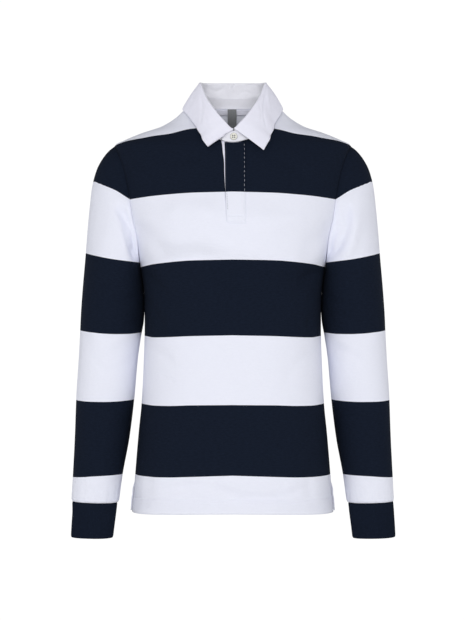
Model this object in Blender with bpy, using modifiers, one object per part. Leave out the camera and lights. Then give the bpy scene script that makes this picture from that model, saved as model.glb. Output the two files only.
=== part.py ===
"""Long-sleeved rugby shirt, worn form, hollow, as separate sewn pieces.

Metres, +Z up. The origin is between the two high points of the shoulders, at
their height. The front faces -Y and the wearer's left is at +X. y = 0 is the
plane of the side seams and shoulder seams.

The body is a family of level superellipse sections. The front and the back are
halves of it, the sleeves are lofted from the armholes, and the collar is swept
round the neckline. Each piece of cloth is an open surface with its thickness
given by a Solidify modifier, turned to the hidden side.
"""
import math

import bpy
import bmesh
from mathutils import Vector

MM = 0.001

# ---------------------------------------------------------------- sizes (mm)
JERSEY = 1.5            # thickness of the heavy jersey
RIB = 2.0               # thickness of the cuff rib
TWILL = 1.5             # collar leaf
STAND = 1.8             # collar stand, interlined
TAPE = 1.0              # neck tape and label
SEAM_GAP = 0.3          # half of the gap kept where two panels meet
ARMHOLE_GAP_SHARE = 0.3 # part of that gap kept along the armhole
SLEEVE_GAP = 0.5        # gap between the armhole and the sleeve's first ring
STAND_GAP = 0.6         # gap between the neck edge and the stand
LAP_GAP = 0.4           # gap between a piece and the one it lies on

ARMPIT_Z = -281.0
SHOULDER_Z = -73.5      # height of the shoulder point
ARMHOLE_DEPTH_FRONT = 58.0
ARMHOLE_DEPTH_BACK = 60.0
YOKE_TURN = 45.0        # above this turn of the armhole the panels fan out to the neck
HEM_SIDE_Z = -709.0
HEM_RISE_FRONT = 8.0    # the hem's middle is a little higher than its sides
HEM_RISE_BACK = 2.0
HEM_RISE_REACH = 120.0  # the rise fades out over this height
VENT_TOP_Z = -652.0     # the side seams are left open below this
VENT_SPREAD = 3.0       # how far the back's edge stands out in the vent
VENT_OVERLAP = 1.0      # and how far behind the side seam's plane it stays

NECK_HALF_WIDTH = 70.0
NECK_FRONT_Z = -74.0

SLIT_RIGHT = 20.0       # placket slit in the front panel
SLIT_END_TURN = 105.0   # the slit ends level with this turn of the armhole
SLIT_END_Z = ((SHOULDER_Z + ARMPIT_Z) / 2
              + (SHOULDER_Z - ARMPIT_Z) / 2 * math.cos(math.radians(SLIT_END_TURN)))
FLAP_RIGHT = 22.0
FLAP_END_Z = -213.0
FLAP_CORNER = 4.0       # the lower left corner of the flap is cut off this far
FLAP_HEIGHTS = [FLAP_END_Z, FLAP_END_Z + FLAP_CORNER, -201.0, -186.0, -165.0, -146.0,
                -127.0, -110.0, -97.0, -86.0]
FLAP_SHARES = (0.0, 0.1, 0.35, 0.6, 0.88, 1.0)
UNDER_RIGHT = 16.0
UNDER_HEIGHTS = [SLIT_END_Z + 1.0, -186.0, -165.0, -146.0, -127.0, -110.0, -97.0, -86.0]
UNDER_SHARES = (0.0, 0.25, 0.55, 1.0)

# Left edges of the slit and of the flap, which gapes a little at the top.
PLACKET_COLUMNS = ("z", "slit", "flap")
PLACKET_EDGES = [
    (FLAP_END_Z, -9.8, -10.4), (-190.0, -10.4, -11.0), (-170.0, -11.5, -12.0),
    (-150.0, -12.7, -12.7), (-135.0, -13.7, -12.9), (-115.0, -15.1, -13.1),
    (-95.0, -16.7, -13.5), (-78.0, -18.3, -13.9), (-70.0, -19.9, -14.1),
]

# Level sections of the body, from the hem up.
BODY_COLUMNS = ("z", "half_width", "front", "back", "squareness")
BODY_SECTIONS = [
    (-713.0, 174.5, 118.0, 118.0, 2.45),
    (-641.0, 169.3, 117.0, 115.0, 2.45),
    (-572.0, 163.6, 115.0, 110.0, 2.45),
    (-519.0, 158.3, 114.0, 106.0, 2.45),
    (-463.0, 155.2, 114.5, 103.0, 2.45),
    (-390.0, 153.0, 117.0, 103.0, 2.45),
    (-340.0, 153.5, 120.0, 108.0, 2.45),
    (-281.0, 160.6, 124.0, 114.0, 2.45),
    (-240.0, 170.0, 126.0, 118.0, 2.42),
    (-205.0, 182.0, 126.0, 119.5, 2.40),
    (-165.0, 192.5, 119.0, 118.5, 2.38),
    (-135.0, 199.0, 110.5, 115.0, 2.35),
    (-103.0, 203.5, 100.0, 108.0, 2.30),
    (-73.5, 206.0, 86.0, 97.0, 2.25),
    (-62.5, 186.0, 77.0, 91.5, 2.20),
    (-51.0, 158.0, 67.5, 85.0, 2.20),
    (-40.0, 125.0, 58.0, 79.0, 2.20),
    (-24.0, 99.0, 46.0, 72.0, 2.20),
    (-11.0, 85.0, 37.0, 66.5, 2.20),
    (0.0, 70.0, 30.0, 62.0, 2.20),
]

# Rings of the sleeve from the armhole to the cuff. The outer point is the one
# on top of the arm, the inner point the one that faces the body.
SLEEVE_COLUMNS = ("outer_x", "outer_z", "inner_x", "inner_z", "half_depth", "middle_y")
SLEEVE_RINGS = [
    (206.2, -73.5, 161.4, -281.2, 59.0, 1.0),
    (219.5, -82.5, 161.6, -283.5, 60.5, 1.0),
    (231.5, -96.0, 161.5, -286.5, 62.0, 1.0),
    (240.0, -115.0, 161.2, -290.5, 64.0, 1.0),
    (245.5, -144.0, 160.6, -296.0, 65.5, 1.5),
    (248.5, -174.0, 159.8, -303.0, 66.5, 2.0),
    (252.0, -212.0, 158.6, -313.0, 66.5, 3.0),
    (255.3, -262.0, 157.4, -327.0, 65.0, 4.0),
    (260.0, -325.0, 156.4, -350.0, 62.5, 6.0),
    (263.6, -366.0, 157.2, -374.0, 60.5, 8.0),
    (266.0, -404.0, 160.6, -405.0, 58.5, 10.0),
    (268.4, -440.0, 165.4, -440.0, 56.5, 11.0),
    (273.0, -514.0, 172.0, -514.0, 52.0, 10.0),
    (275.0, -578.0, 180.0, -580.0, 48.0, 6.0),
    (277.5, -640.0, 191.2, -642.0, 44.0, -2.0),
    (279.6, -691.0, 198.0, -696.0, 39.0, -8.0),
]
SLEEVE_SQUARENESS = 2.15
SLEEVE_BLEND = 230.0    # length over which the rings turn from the armhole's form to their own

CUFF_COLUMNS = ("outer_x", "outer_z", "inner_x", "inner_z", "half_depth", "middle_y")
CUFF_RINGS = [
    (278.0, -691.6, 200.4, -696.6, 36.5, -8.5),
    (278.6, -711.0, 202.6, -715.0, 34.5, -10.0),
    (279.8, -731.0, 205.2, -734.0, 32.0, -12.0),
    (280.8, -752.0, 207.6, -754.0, 29.5, -14.0),
]

# Neckline of the body: angle round the neck from the middle front, with a row
# past the middle front and the middle back.
NECK_COLUMNS = ("angle", "z")
NECKLINE = [
    (-20.0, -68.5), (0.0, NECK_FRONT_Z), (20.0, -68.5), (40.0, -52.5), (60.0, -31.0),
    (75.0, -13.5), (84.0, -4.5), (90.0, 0.0), (120.0, -1.0), (180.0, -2.5),
    (240.0, -1.0),
]

# Collar: height and lean of the stand, place of the fold line. The first and
# last rows repeat their neighbours past the middle, so that it runs smoothly.
COLLAR_COLUMNS = ("angle", "stand_top_z", "stand_half_width", "stand_y",
                  "fold_z", "fold_half_width", "fold_y")
COLLAR = [
    (-12.0, -51.5, 62.5, -82.4, -38.5, 57.0, -85.6),
    (0.0, -55.0, 62.5, -84.0, -47.0, 57.0, -87.0),
    (12.0, -51.5, 62.5, -82.4, -38.5, 57.0, -85.6),
    (23.0, -45.0, 62.5, -78.4, -27.5, 57.0, -81.4),
    (38.0, -31.5, 62.5, -68.8, -10.5, 57.0, -72.2),
    (52.0, -17.5, 62.5, -56.0, 5.0, 57.0, -59.8),
    (67.0, -2.5, 62.5, -39.0, 22.5, 57.0, -43.5),
    (79.0, 8.0, 62.5, -25.0, 33.0, 57.0, -28.5),
    (95.0, 14.5, 62.5, -6.0, 36.8, 57.0, -8.5),
    (130.0, 17.0, 62.5, 33.5, 40.0, 57.0, 31.5),
    (180.0, 16.5, 62.5, 57.5, 43.0, 57.0, 56.5),
    (230.0, 17.0, 62.5, 33.5, 40.0, 57.0, 31.5),
]

# Free edge of the leaf, laid over the body: the body's own angle and height
# under the edge, and how far the edge stands off the cloth below it.
EDGE_COLUMNS = ("angle", "body_angle", "body_z", "lift")
LEAF_EDGE_RIGHT = [      # wearer's right, -X
    (0.0, 80.4, -84.5, 7.5), (20.0, 76.5, -67.5, 6.0), (40.0, 68.8, -50.5, 5.0),
    (52.0, 58.0, -38.8, 4.5), (62.0, 44.2, -27.0, 4.5), (74.0, 26.0, -17.0, 4.5),
    (86.0, 2.0, -10.8, 4.5), (105.0, -22.0, -9.5, 4.5), (135.0, -52.0, -10.0, 4.5),
    (180.0, -90.0, -11.0, 4.5), (225.0, -52.0, -10.0, 4.5),
]
LEAF_EDGE_LEFT = [       # wearer's left, +X
    (0.0, 78.4, -93.0, 7.5), (20.0, 74.3, -70.5, 6.0), (40.0, 65.5, -50.5, 5.0),
    (52.0, 53.5, -37.0, 4.5), (62.0, 41.5, -27.5, 4.5), (74.0, 22.0, -15.8, 4.5),
    (86.0, 2.0, -10.5, 4.5), (105.0, -22.0, -9.5, 4.5), (135.0, -52.0, -10.0, 4.5),
    (180.0, -90.0, -11.0, 4.5), (225.0, -52.0, -10.0, 4.5),
]
LEAF_BOW = 1.8          # how far the leaf's middle stands out from a straight line
LEAF_BOW_SKEW = 0.4     # the bow is fuller towards the fold
LEAF_STEPS = 6
FOLD_RADIUS = 2.2
STAND_LAP = 2.4         # the upper end of the stand lies this far over the lower,
STAND_LAP_END = 38.0    # up to this angle,
STAND_LAP_FADE = 20.0   # fading out over this turn
STAND_CORNER = 0.72     # height of the stand at its rounded ends, as a share
STAND_CORNER_TURN = 7.0
STAND_UPPER_END = [-15.0, -12.5, -8.0, -3.0]    # past the middle front, over
STAND_LOWER_END = [366.0, 371.0, 374.0]         # past the middle front, under
LEAF_START = 4.0
LEAF_END = 361.0

BUTTON_RADIUS = 6.3
BUTTON_THICKNESS = 2.8
BUTTON_RIM = 1.3
BUTTON_DISH = 0.6       # depth of the face inside the rim
BUTTON_HOLE_RADIUS = 0.75
BUTTON_HOLE_OFFSET = 1.45
BUTTON_X = 1.6
BUTTON_Z = -64.2

LABEL_LEFT = -9.0
LABEL_RIGHT = 6.5
LABEL_LENGTH = 38.0
LABEL_TOP_Z = -3.6
LABEL_HANG = 1.6        # how far the label hangs clear of the tape
TAPE_WIDTH = 9.0
TAPE_TOP_Z = -2.6
TAPE_START = 14.0       # the tape runs from here, as the body's own angle,
TAPE_TURN = 152.0       # over this turn round the back of the neck

# ------------------------------------------------------------- mesh fineness
BODY_ROWS = [HEM_SIDE_Z, -690.0, VENT_TOP_Z, -610.0, -560.0, -510.0, -455.0, -405.0,
             -360.0, -325.0, -300.0]
PANEL_SIDE_COLUMNS = 5      # each side, under the neck opening
PANEL_SHOULDER_COLUMNS = 6  # each side, under the shoulder seam
YOKE_ROWS = 6
SLEEVE_SIDES = 24           # the panels have a row at each side of the armhole
SLEEVE_ROWS = 25
CUFF_ROWS = 4
ARC_STEPS = 60              # fineness at which a section's arcs are measured
TAPE_STEPS = 20
LABEL_ROWS = 5
LABEL_COLUMNS = 3

NAVY = (0.0091, 0.0144, 0.0252, 1.0)
WHITE = (0.83, 0.84, 0.90, 1.0)
GREY = (0.10, 0.105, 0.11, 1.0)
CREAM = (0.78, 0.78, 0.74, 1.0)


# ------------------------------------------------------------------ formulas
def lookup(table, columns, name, at):
    """Read a named column at a place in the first column, as a smooth curve."""
    rows = sorted(table, key=lambda row: row[0])
    column = columns.index(name)
    keys = [row[0] for row in rows]
    values = [row[column] for row in rows]
    at = min(max(at, keys[0]), keys[-1])
    spans = [keys[i + 1] - keys[i] for i in range(len(keys) - 1)]
    slopes = [(values[i + 1] - values[i]) / spans[i] for i in range(len(spans))]
    tangents = [slopes[0]]
    for i in range(1, len(slopes)):
        before, after = slopes[i - 1], slopes[i]
        tangents.append(0.0 if before * after <= 0 else 2 * before * after / (before + after))
    tangents.append(slopes[-1])
    i = 0
    while i < len(spans) - 1 and at > keys[i + 1]:
        i += 1
    t = (at - keys[i]) / spans[i]
    return ((2 * t**3 - 3 * t**2 + 1) * values[i] + (t**3 - 2 * t**2 + t) * spans[i] * tangents[i]
            + (3 * t**2 - 2 * t**3) * values[i + 1] + (t**3 - t**2) * spans[i] * tangents[i + 1])


def body_size(name, z):
    return lookup(BODY_SECTIONS, BODY_COLUMNS, name, z)


def body_point(angle, z):
    """Point of the body's outer surface. Angle 0 is +X and 90 the middle front."""
    power = 2.0 / body_size("squareness", z)
    c, s = math.cos(math.radians(angle)), math.sin(math.radians(angle))
    depth = body_size("front" if s >= 0 else "back", z)
    x = body_size("half_width", z) * math.copysign(abs(c) ** power, c)
    return Vector((x, -depth * math.copysign(abs(s) ** power, s), z))


def depth_at(x, z, side):
    """y of the body's outer surface over a place (x, z) on its front or back."""
    n = body_size("squareness", z)
    share = min(abs(x) / body_size("half_width", z), 1.0)
    return body_size(side, z) * (1.0 - share**n) ** (1.0 / n) * (-1.0 if side == "front" else 1.0)


def width_at(y, z):
    """x of the body's outer surface at a depth y and a height z."""
    n = body_size("squareness", z)
    share = min(abs(y) / body_size("front" if y < 0 else "back", z), 1.0)
    return body_size("half_width", z) * (1.0 - share**n) ** (1.0 / n)


def body_normal(angle, z):
    step = 1.5
    along = body_point(angle + step, z) - body_point(angle - step, z)
    up = body_point(angle, min(z + step, 0.0)) - body_point(angle, z - step)
    normal = along.cross(up).normalized()
    outward = body_point(angle, z)
    outward.z = 0.0
    return normal if normal.dot(outward) >= 0 else -normal


def off_body(angle, z, lift):
    return body_point(angle, z) + body_normal(angle, z) * lift


def angle_at(x, z):
    """The body's own angle over a place (x, z) on its front."""
    share = max(-1.0, min(1.0, x / body_size("half_width", z)))
    c = math.copysign(abs(share) ** (body_size("squareness", z) / 2.0), share)
    return math.degrees(math.acos(c))


def armhole_point(turn, side=1):
    """Point of the armhole seam. Turn 0 is the shoulder point and 90 its front."""
    middle = (SHOULDER_Z + ARMPIT_Z) / 2
    z = middle + (SHOULDER_Z - ARMPIT_Z) / 2 * math.cos(math.radians(turn))
    s = math.sin(math.radians(turn))
    y = -s * (ARMHOLE_DEPTH_FRONT if s >= 0 else ARMHOLE_DEPTH_BACK)
    return Vector((side * width_at(y, z), y, z))


def armhole_edge(turn, side):
    """Point of a panel's armhole edge, straight between the sides of the sleeve."""
    step = 360.0 / SLEEVE_SIDES
    low = math.floor(turn / step + 1e-6) * step
    facing = 1.0 if side == "front" else -1.0
    return armhole_point(facing * low).lerp(armhole_point(facing * (low + step)),
                                            (turn - low) / step)


def neck_z(angle):
    angle = abs((angle + 180.0) % 360.0 - 180.0)
    return lookup(NECKLINE, NECK_COLUMNS, "z", angle)


def neckline(angle):
    """Point of the neck edge. Angle 0 is the middle front and 90 is +X."""
    x = NECK_HALF_WIDTH * math.sin(math.radians(angle))
    side = "front" if math.cos(math.radians(angle)) > 0 else "back"
    return Vector((x, depth_at(x, neck_z(angle), side), neck_z(angle)))


def neck_angles():
    """Angles of a panel's neck points, from the middle to the shoulder."""
    first = math.degrees(math.asin(SLIT_RIGHT / NECK_HALF_WIDTH))
    steps = [first + (90.0 - first) * k / PANEL_SIDE_COLUMNS
             for k in range(PANEL_SIDE_COLUMNS + 1)]
    return [0.0] + steps


def neck_edge(angle):
    """Point of the panels' neck edge, which is straight between their neck points."""
    away, side = folded(angle)
    facing = away if away <= 90.0 else 180.0 - away
    angles = neck_angles()
    i = 0
    while i < len(angles) - 2 and facing > angles[i + 1]:
        i += 1
    share = (facing - angles[i]) / (angles[i + 1] - angles[i])
    a, b = [neckline(x if away <= 90.0 else 180.0 - x) for x in angles[i:i + 2]]
    point = a.lerp(b, share)
    return Vector((side * point.x, point.y, point.z))


def slit_left(z):
    return lookup(PLACKET_EDGES, PLACKET_COLUMNS, "slit", z)


def flap_left(z):
    return lookup(PLACKET_EDGES, PLACKET_COLUMNS, "flap", z)


# ------------------------------------------------------------------- meshing
def material(name, colour, roughness):
    made = bpy.data.materials.new(name)
    made.use_nodes = True
    shader = made.node_tree.nodes["Principled BSDF"]
    shader.inputs["Base Color"].default_value = colour
    shader.inputs["Roughness"].default_value = roughness
    shader.inputs["Metallic"].default_value = 0.0
    return made


def cloth(name, rows, thickness, finish, closed=False, keep=None):
    """A piece of cloth: a grid of points in mm, given its thickness behind it."""
    bm = bmesh.new()
    grid = [[bm.verts.new(Vector(p) * MM) for p in row] for row in rows]
    for i in range(len(grid) - 1):
        across = len(grid[i]) if closed else len(grid[i]) - 1
        for j in range(across):
            if keep and not keep(i, j):
                continue
            k = (j + 1) % len(grid[i])
            bm.faces.new((grid[i][j], grid[i][k], grid[i + 1][k], grid[i + 1][j]))
    bmesh.ops.delete(bm, geom=[v for v in bm.verts if not v.link_faces], context="VERTS")
    mesh = bpy.data.meshes.new(name)
    bm.to_mesh(mesh)
    bm.free()
    mesh.shade_smooth()
    mesh.materials.append(finish)
    piece = bpy.data.objects.new(name, mesh)
    shirt.objects.link(piece)
    wall = piece.modifiers.new("wall", "SOLIDIFY")
    wall.thickness = thickness * MM
    wall.offset = -1.0
    return piece


def mirrored(rows):
    """The rows seen in the plane x = 0, turned so that their faces still point out."""
    return [[Vector((-p[0], p[1], p[2])) for p in reversed(row)] for row in rows]


# -------------------------------------------------------------------- panels
def section_run(z, side, start_x, end, steps):
    """Points at equal arcs along a level section, from start_x out to its edge."""
    turn = 1.0 if side == "front" else -1.0
    first = angle_at(start_x, z)
    last = angle_at(end.x, z) if end.y != 0.0 else 0.0
    points = [body_point(turn * (first + (last - first) * (i / ARC_STEPS)), z)
              for i in range(ARC_STEPS + 1)]
    lengths = [0.0]
    for a, b in zip(points, points[1:]):
        lengths.append(lengths[-1] + (b - a).length)
    out = []
    for k in range(1, steps + 1):
        goal = lengths[-1] * k / steps
        i = 0
        while i < ARC_STEPS - 1 and lengths[i + 1] < goal:
            i += 1
        share = (goal - lengths[i]) / max(lengths[i + 1] - lengths[i], 1e-9)
        point = points[i].lerp(points[i + 1], share)
        out.append(Vector((point.x, depth_at(point.x, z, side), z)) if k < steps else end)
    return out


def hem_z(x, z, side):
    """Rows near the hem follow its line, which rises towards the middle."""
    rise = HEM_RISE_FRONT if side == "front" else HEM_RISE_BACK
    near = max(0.0, 1.0 - (z - HEM_SIDE_Z) / HEM_RISE_REACH)
    middle = 1.0 - min(abs(x) / body_size("half_width", z), 1.0) ** 2
    return z + rise * near * middle


def panel_rows(side):
    """Half of a panel from the middle to +X: rows of points from the hem up."""
    centre = (0.0, SLIT_RIGHT)
    outer = PANEL_SIDE_COLUMNS + PANEL_SHOULDER_COLUMNS
    edges = [Vector((body_size("half_width", z), 0.0, z)) for z in BODY_ROWS]
    turn = 180.0
    while turn >= YOKE_TURN:
        edges.append(armhole_edge(turn, side))
        turn -= 360.0 / SLEEVE_SIDES
    rows = []
    for edge in edges:
        z = edge.z
        row = [Vector((x, depth_at(x, z, side), z)) for x in centre]
        row += section_run(z, side, SLIT_RIGHT, edge, outer)
        rows.append([Vector((p.x, p.y, hem_z(p.x, p.z, side))) for p in row])
    rows += yoke_rows(side, rows[-1])
    return rows


def yoke_rows(side, base):
    """Rows above the yoke line, fanning out to the neckline and the shoulder seam."""
    tops = []
    for angle in neck_angles():
        tops.append(neckline(angle if side == "front" else 180.0 - angle))
    for k in range(1, PANEL_SHOULDER_COLUMNS + 1):
        x = NECK_HALF_WIDTH + (width_at(0, SHOULDER_Z) - NECK_HALF_WIDTH) * k / PANEL_SHOULDER_COLUMNS
        tops.append(Vector((x, 0.0, ridge_z(x))))
    rows = []
    base_x, top_x = base[-1].x, tops[-1].x
    for i in range(1, YOKE_ROWS + 1):
        t = i / YOKE_ROWS
        row = []
        edge = armhole_edge(YOKE_TURN * (1.0 - t), side)
        edge_share = (edge.x - base_x) / (top_x - base_x)
        for low, top in zip(base, tops):
            power = 1.0 + min(abs(top.x) / NECK_HALF_WIDTH, 1.0) ** 2
            z = low.z + (top.z - low.z) * (1.0 - (1.0 - t) ** power)
            share = edge_share if abs(top.x) >= NECK_HALF_WIDTH - 0.01 else t
            x = low.x + (top.x - low.x) * share
            row.append(Vector((x, depth_at(x, z, side), z)) if i < YOKE_ROWS else top)
        row[-1] = edge
        rows.append(row)
    return rows


def ridge_z(x):
    """Height of the shoulder seam over x, found by halving."""
    low, high = SHOULDER_Z, 0.0
    for _ in range(40):
        middle = (low + high) / 2
        if body_size("half_width", middle) > x:
            low = middle
        else:
            high = middle
    return low


def whole_panel(side):
    """Both halves of a panel, with its edges drawn back from the seams."""
    half = panel_rows(side)
    gap = SEAM_GAP if side == "back" else -SEAM_GAP
    for row in half:
        at_side = row[-1].z <= ARMPIT_Z
        row[-1] = row[-1] + Vector((0.0, gap * (1.0 if at_side else ARMHOLE_GAP_SHARE), 0.0))
        if side == "back" and row[-1].z < VENT_TOP_Z - 1.0:
            row[-1] = row[-1] + Vector((VENT_SPREAD, VENT_OVERLAP, 0.0))
    first_shoulder = 2 + PANEL_SIDE_COLUMNS - 1
    half[-1] = [p + Vector((0.0, gap, 0.0)) if j >= first_shoulder else p
                for j, p in enumerate(half[-1])]
    return [[Vector((-p.x, p.y, p.z)) for p in reversed(row[1:])] + row for row in half]


def front():
    rows = whole_panel("front")
    middle = len(rows[0]) // 2
    slit_row = min(range(len(rows)), key=lambda i: abs(rows[i][middle].z - SLIT_END_Z))
    for i, row in enumerate(rows):
        z = row[middle].z
        x = slit_left(z) if i >= slit_row else -SLIT_RIGHT
        row[middle - 1] = Vector((x, depth_at(x, row[middle - 1].z, "front"), row[middle - 1].z))

    def keep(i, j):
        return not (i >= slit_row and j in (middle - 1, middle))
    return cloth("front", rows, JERSEY, striped, keep=keep)


def back():
    rows = [list(reversed(row)) for row in whole_panel("back")]
    return cloth("back", rows, JERSEY, striped)


# ------------------------------------------------------------------- sleeves
def row_point(row, across, deep):
    """Point of a ring given by its table row, at shares across and deep."""
    outer = Vector((row[0], row[5], row[1]))
    inner = Vector((row[2], row[5], row[3]))
    return outer.lerp(inner, 0.5 - 0.5 * across) + Vector((0, -row[4] * deep, 0))


def ring_rows(table, columns, count, blend_armhole):
    """Rings of a tube at equal steps along its outer line, as a smooth loft."""
    power = 2.0 / SLEEVE_SQUARENESS
    keyed = []
    run = 0.0
    for i, row in enumerate(table):
        if i:
            last = table[i - 1]
            run += 0.5 * (math.hypot(row[0] - last[0], row[1] - last[1])
                          + math.hypot(row[2] - last[2], row[3] - last[3]))
        keyed.append((run,) + row)
    names = ("run",) + columns
    rows = []
    for i in range(count + 1):
        at = keyed[-1][0] * (i / count)
        size = [lookup(keyed, names, name, at) for name in columns]
        near = max(0.0, 1.0 - at / blend_armhole) ** 2 if blend_armhole else 0.0
        ring = []
        for k in range(SLEEVE_SIDES):
            turn = 360.0 * k / SLEEVE_SIDES
            c, s = math.cos(math.radians(turn)), math.sin(math.radians(turn))
            across = math.copysign(abs(c) ** power, c)
            deep = math.copysign(abs(s) ** power, s)
            oval = row_point(size, across, deep)
            if near > 0.0:
                seam = armhole_point(turn) + Vector((SLEEVE_GAP, 0, 0))
                oval += (seam - row_point(table[0], across, deep)) * near
            ring.append(oval)
        rows.append(ring)
    return rows


def sleeve(name, side):
    rows = ring_rows(SLEEVE_RINGS, SLEEVE_COLUMNS, SLEEVE_ROWS, SLEEVE_BLEND)
    rows = [list(reversed(row)) for row in reversed(rows)]
    if side < 0:
        rows = mirrored(rows)
    return cloth(name, rows, JERSEY, striped, closed=True)


def cuff(name, side):
    rows = ring_rows(CUFF_RINGS, CUFF_COLUMNS, CUFF_ROWS, 0.0)
    rows = [list(reversed(row)) for row in reversed(rows)]
    if side < 0:
        rows = mirrored(rows)
    return cloth(name, rows, RIB, navy_rib, closed=True)


# -------------------------------------------------------------------- collar
def folded(angle):
    """An angle round the neck as 0 to 180 from the middle front, and its side."""
    angle = (angle + 180.0) % 360.0 - 180.0
    return abs(angle), (1.0 if angle >= 0 else -1.0)


def lap(angle):
    """How far the upper end of the stand lies over the lower one."""
    return STAND_LAP * min(1.0, max(0.0, (STAND_LAP_END - angle) / STAND_LAP_FADE))


def ring_point(angle, width_name, y_name, z_name):
    away, _ = folded(angle)
    x = lookup(COLLAR, COLLAR_COLUMNS, width_name, away) * math.sin(math.radians(angle))
    return Vector((x, lookup(COLLAR, COLLAR_COLUMNS, y_name, away),
                   lookup(COLLAR, COLLAR_COLUMNS, z_name, away)))


def outward(angle):
    return Vector((math.sin(math.radians(angle)), -math.cos(math.radians(angle)), 0.0))


def stand_point(angle, share):
    """Point of the stand's outer face, from the neck seam (0) to its top (1)."""
    low = neck_edge(angle) + Vector((0, 0, STAND_GAP))
    top = ring_point(angle, "stand_half_width", "stand_y", "stand_top_z")
    return low.lerp(top, share) + outward(angle) * lap(angle)


def leaf_angles():
    """Sections of the collar: at the panels' neck points and halfway between them."""
    quarter = neck_angles()
    half = quarter + [180.0 - a for a in reversed(quarter[:-1])]
    ring = half + [360.0 - a for a in reversed(half[:-1])]
    angles = []
    for a, b in zip(ring, ring[1:]):
        angles += [a, (a + b) / 2]
    return [LEAF_START] + [a for a in angles if LEAF_START < a < 359.0] + [LEAF_END]


def collar_stand():
    rows = [[], [], [], []]
    for angle in STAND_UPPER_END + leaf_angles() + STAND_LOWER_END:
        from_end = min(angle - STAND_UPPER_END[0], STAND_LOWER_END[-1] - angle)
        bend = max(0.0, 1.0 - from_end / STAND_CORNER_TURN)
        corner = STAND_CORNER + (1.0 - STAND_CORNER) * math.sqrt(max(0.0, 1.0 - bend**2))
        for i, row in enumerate(rows):
            row.append(stand_point(angle, corner * i / 3))
    return cloth("collar_stand", rows, STAND, twill)


def leaf_edge(angle):
    away, side = abs(folded(angle)[0]), 1.0 if angle < 180.0 else -1.0
    table = LEAF_EDGE_LEFT if side > 0 else LEAF_EDGE_RIGHT
    size = {name: lookup(table, EDGE_COLUMNS, name, away) for name in EDGE_COLUMNS[1:]}
    point = off_body(size["body_angle"], size["body_z"], size["lift"])
    return Vector((side * point.x, point.y, point.z))


def fall_section(angle):
    """Section of the fall: up from the stand, over the fold, down to its edge."""
    seam = stand_point(angle, 1.0) + Vector((0, 0, 2 * LAP_GAP)) - outward(angle) * STAND
    fold = ring_point(angle, "fold_half_width", "fold_y", "fold_z") + outward(angle) * lap(angle)
    edge = leaf_edge(angle)
    inner = fold - outward(angle) * FOLD_RADIUS - Vector((0, 0, FOLD_RADIUS))
    outer = fold + outward(angle) * FOLD_RADIUS - Vector((0, 0, FOLD_RADIUS))
    line = edge - outer
    side_on = line.cross(outward(angle + 90.0)).normalized()
    if side_on.dot(outward(angle)) < 0:
        side_on = -side_on
    points = [seam, seam.lerp(inner, 0.5), inner]
    for turn in (135.0, 90.0, 45.0):
        points.append(fold + outward(angle) * (FOLD_RADIUS * math.cos(math.radians(turn)))
                      + Vector((0, 0, FOLD_RADIUS * (math.sin(math.radians(turn)) - 1.0))))
    for i in range(LEAF_STEPS + 1):
        share = i / LEAF_STEPS
        bow = LEAF_BOW * math.sin(math.pi * share) * (1.0 - LEAF_BOW_SKEW * share)
        points.append(outer + line * share + side_on * bow)
    return points


def collar_fall():
    columns = [fall_section(angle) for angle in leaf_angles()]
    rows = [list(row) for row in zip(*columns)]
    return cloth("collar_fall", [list(reversed(row)) for row in rows], TWILL, twill)


# ------------------------------------------------------------------- placket
def on_front(x, z, lift):
    return off_body(angle_at(x, z), z, lift)


def placket_flap():
    """The upper layer, over the slit, with the bottom corner cut off."""
    lift = 2 * LAP_GAP + JERSEY
    rows = []
    for i, z in enumerate(FLAP_HEIGHTS + [None]):
        row = []
        for share in FLAP_SHARES:
            height = z
            left = flap_left(z if z is not None else NECK_FRONT_Z)
            if i == 0:
                left += FLAP_CORNER
            x = left + (FLAP_RIGHT - left) * share
            if z is None:
                angle = math.degrees(math.asin(x / NECK_HALF_WIDTH))
                height = neck_z(angle) - lift
            row.append(on_front(x, height, lift))
        rows.append(row)
    return cloth("placket_flap", rows, JERSEY, striped)


def placket_under():
    """The lower layer, in the slit at the level of the panel."""
    rows = []
    for z in UNDER_HEIGHTS + [None]:
        left = slit_left(z if z is not None else NECK_FRONT_Z) + 2 * SEAM_GAP
        row = []
        for share in UNDER_SHARES:
            x = left + (UNDER_RIGHT - left) * share
            angle = math.degrees(math.asin(x / NECK_HALF_WIDTH))
            height = z if z is not None else neck_z(angle) - LAP_GAP
            row.append(on_front(x, height, 0.0))
        rows.append(row)
    return cloth("placket_under", rows, JERSEY, twill)


# ---------------------------------------------------------------------- trim
def neck_tape():
    lift = -(JERSEY + 4 * LAP_GAP + TAPE)
    rows = []
    for i in range(3):
        row = []
        for k in range(TAPE_STEPS + 1):
            angle = -(TAPE_START + TAPE_TURN * k / TAPE_STEPS)
            row.append(off_body(angle, TAPE_TOP_Z - TAPE_WIDTH * (1.0 - i / 2), lift))
        rows.append(row)
    return cloth("neck_tape", rows, TAPE, tape_cloth)


def label():
    """A plain loop label that hangs from the back neck seam."""
    lift = -(JERSEY + 5 * LAP_GAP + 2 * TAPE)
    rows = []
    for i in range(LABEL_ROWS + 1):
        z = LABEL_TOP_Z - LABEL_LENGTH * (1.0 - i / LABEL_ROWS)
        row = []
        for k in range(LABEL_COLUMNS + 1):
            x = LABEL_LEFT + (LABEL_RIGHT - LABEL_LEFT) * k / LABEL_COLUMNS
            row.append(Vector((x, depth_at(x, z, "back") + lift - LABEL_HANG, z)))
        rows.append(row)
    return cloth("label", rows, TAPE, label_cloth)


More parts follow.
